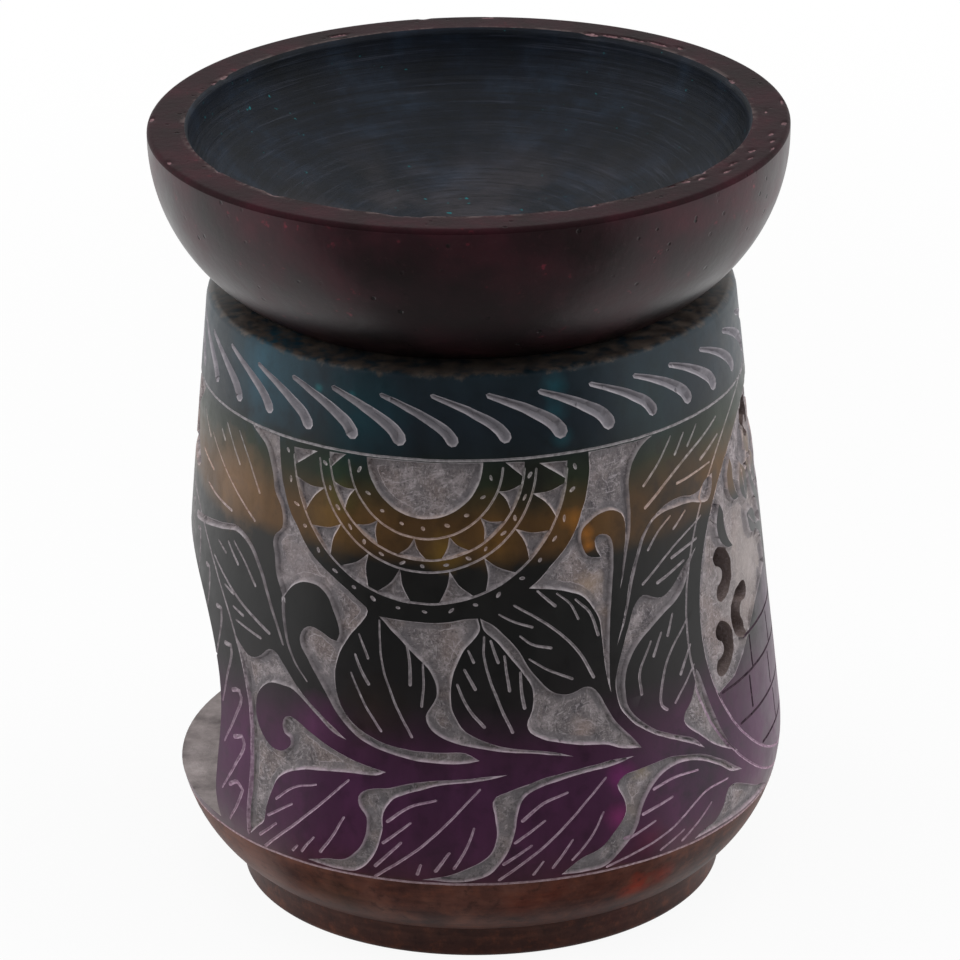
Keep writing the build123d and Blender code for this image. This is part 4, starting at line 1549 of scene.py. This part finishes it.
def make_wick():
    """Three twisted strands as one lobed stem, cut off at the top."""
    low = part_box("tealight_wick")[0][2] / MM
    rings = 60
    rise = wick_top - 0.15 - low
    outline = [(0, low)] + [(wick_radius, low + rise * i / rings) for i in range(rings + 1)]
    outline += [(wick_radius * 0.6, wick_top), (0, wick_top)]
    verts, faces = turned_mesh(outline, 36)
    moved = []
    for x, y, z in verts:
        lobe = abs(math.cos(1.5 * (math.atan2(y, x) - z * 1.1)))
        share = 0.78 + 0.22 * lobe
        moved.append((x * share, y * share, z))
    wick = new_object("twisted_wick", moved, faces)
    weld(wick)
    wick.data.materials.append(wick_finish())
    smooth_shade(wick, 60)
    return wick


for make, node, slot in (
    (make_cup, "tealight_cup", "cup_foil"),
    (make_wax, "tealight_wax", "wax"),
    (make_wick, "tealight_wick", "wick"),
):
    piece = make()
    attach(piece, "tealight")
    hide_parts(node)
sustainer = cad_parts["wick_sustainer"]
sustainer.data.materials.clear()
sustainer.data.materials.append(tin_finish())


# Floor, light and camera

scene = bpy.context.scene
scene.view_settings.view_transform = "Standard"


def seen_share(tree):
    """1 for rays that show the background: from the camera, mirrors and glass."""
    path = tree.nodes.new("ShaderNodeLightPath")
    total = path.outputs["Is Camera Ray"]
    for name in ("Is Glossy Ray", "Is Transmission Ray"):
        step = tree.nodes.new("ShaderNodeMath")
        step.operation = "MAXIMUM"
        tree.links.new(total, step.inputs[0])
        tree.links.new(path.outputs[name], step.inputs[1])
        total = step.outputs[0]
    return total


floor_half = 4000.0
floor_share = 0.92
floor_near = 110.0
floor_far = 360.0


def make_floor():
    """A pale floor that holds the shadow near the object and turns white away from it."""
    floor = new_object("floor", [(-floor_half, -floor_half, 0), (floor_half, -floor_half, 0),
                                 (floor_half, floor_half, 0), (-floor_half, floor_half, 0)], [[0, 1, 2, 3]])
    floor.location.z = -0.02 * MM
    pale = bpy.data.materials.new("pale_floor")
    pale.use_nodes = True
    tree = pale.node_tree
    matte = tree.nodes["Principled BSDF"]
    matte.inputs["Base Color"].default_value = (0.62, 0.62, 0.62, 1)
    matte.inputs["Roughness"].default_value = 0.9
    matte.inputs["Specular IOR Level"].default_value = 0.1
    glow = tree.nodes.new("ShaderNodeEmission")
    glow.inputs["Strength"].default_value = 1.0
    share = tree.nodes.new("ShaderNodeMath")
    share.operation = "MULTIPLY"
    tree.links.new(seen_share(tree), share.inputs[0])
    place = tree.nodes.new("ShaderNodeNewGeometry")
    far = tree.nodes.new("ShaderNodeVectorMath")
    far.operation = "LENGTH"
    tree.links.new(place.outputs["Position"], far.inputs[0])
    fade = tree.nodes.new("ShaderNodeMapRange")
    fade.interpolation_type = "SMOOTHSTEP"
    fade.inputs["From Min"].default_value = floor_near * MM
    fade.inputs["From Max"].default_value = floor_far * MM
    fade.inputs["To Min"].default_value = floor_share
    fade.inputs["To Max"].default_value = 1.0
    tree.links.new(far.outputs["Value"], fade.inputs["Value"])
    tree.links.new(fade.outputs["Result"], share.inputs[1])
    blend = tree.nodes.new("ShaderNodeMixShader")
    tree.links.new(share.outputs[0], blend.inputs[0])
    tree.links.new(matte.outputs[0], blend.inputs[1])
    tree.links.new(glow.outputs[0], blend.inputs[2])
    tree.links.new(blend.outputs[0], tree.nodes["Material Output"].inputs["Surface"])
    floor.data.materials.append(pale)


def make_world():
    world = bpy.data.worlds.new("studio")
    scene.world = world
    world.use_nodes = True
    tree = world.node_tree
    backdrop = tree.nodes["Background"]
    backdrop.inputs["Color"].default_value = (1, 1, 1, 1)
    lift = tree.nodes.new("ShaderNodeMapRange")
    lift.inputs["To Min"].default_value = world_light
    lift.inputs["To Max"].default_value = 1.0
    tree.links.new(seen_share(tree), lift.inputs["Value"])
    tree.links.new(lift.outputs["Result"], backdrop.inputs["Strength"])


def make_flag():
    """A dark card in front of the object that only reflections see."""
    verts = []
    for radius, height in ((foot_bottom_radius + 3, 0.3), (flag_radius, 0.3), (flag_radius, flag_height)):
        for i in range(25):
            turn = math.radians(flag_half_turn * (i / 12 - 1))
            verts.append((radius * math.sin(turn), -radius * math.cos(turn), height))
    flag = new_object("flag", verts, [[i, i + 1, i + 26, i + 25] for i in range(49) if i != 24])
    dark = bpy.data.materials.new("dark_card")
    dark.use_nodes = True
    card = dark.node_tree.nodes["Principled BSDF"]
    card.inputs["Base Color"].default_value = (0.2, 0.2, 0.2, 1)
    card.inputs["Roughness"].default_value = 1.0
    card.inputs["Specular IOR Level"].default_value = 0.0
    flag.data.materials.append(dark)
    flag.visible_camera = False
    flag.visible_diffuse = False
    flag.visible_transmission = False
    flag.visible_shadow = False


def make_panel(name, place, target, width, height, power):
    """A soft lamp at a place, turned to a target."""
    lamp = bpy.data.lights.new(name, "AREA")
    lamp.shape = "RECTANGLE"
    lamp.size = width * MM
    lamp.size_y = height * MM
    lamp.energy = power
    panel = bpy.data.objects.new(name, lamp)
    spot = Vector(place) * MM
    aim = spot - Vector(target) * MM
    panel.matrix_world = Matrix.Translation(spot) @ aim.to_track_quat("Z", "Y").to_matrix().to_4x4()
    panel.visible_camera = False
    panel.visible_glossy = False
    scene.collection.objects.link(panel)


world_light = 0.22
flag_radius = 130.0
flag_height = 320.0
flag_half_turn = 52.0
make_floor()
make_world()
make_flag()
make_panel("left_panel", (-420, 20, 210), (0, 0, 60), 420, 420, 2.3)
make_panel("right_panel", (420, 20, 210), (0, 0, 60), 420, 420, 2.3)
make_panel("top_panel", (0, -120, 620), (0, 0, 40), 500, 500, 1.9)
make_panel("front_panel", (-160, -760, 420), (0, 0, 45), 400, 300, 0.7)

# Camera: where the photo was taken from
camera_distance = 772.0
camera_elevation = 22.76
camera_azimuth = 2.0
camera_roll = 0.993
camera_target = (0.0, 0.0, 50.0)
camera_lens = 229.7
aim_right = 0.62
aim_up = 1.59

rise = math.radians(camera_elevation)
turn = math.radians(camera_azimuth)
roll = math.radians(camera_roll)
away = Vector((math.sin(turn) * math.cos(rise), -math.cos(turn) * math.cos(rise), math.sin(rise)))
level_right = Vector((math.cos(turn), math.sin(turn), 0))
level_up = away.cross(level_right)
right = level_right * math.cos(roll) - level_up * math.sin(roll)
up = level_right * math.sin(roll) + level_up * math.cos(roll)
stand = (Vector(camera_target) + away * camera_distance + right * aim_right + up * aim_up) * MM
lens = bpy.data.cameras.new("camera")
lens.lens = camera_lens
lens.sensor_width = 36.0
lens.clip_start = 0.05
lens.clip_end = 20.0
camera = bpy.data.objects.new("camera", lens)
camera.matrix_world = Matrix.Translation(stand) @ Matrix((right, up, away)).transposed().to_4x4()
scene.collection.objects.link(camera)
scene.camera = camera
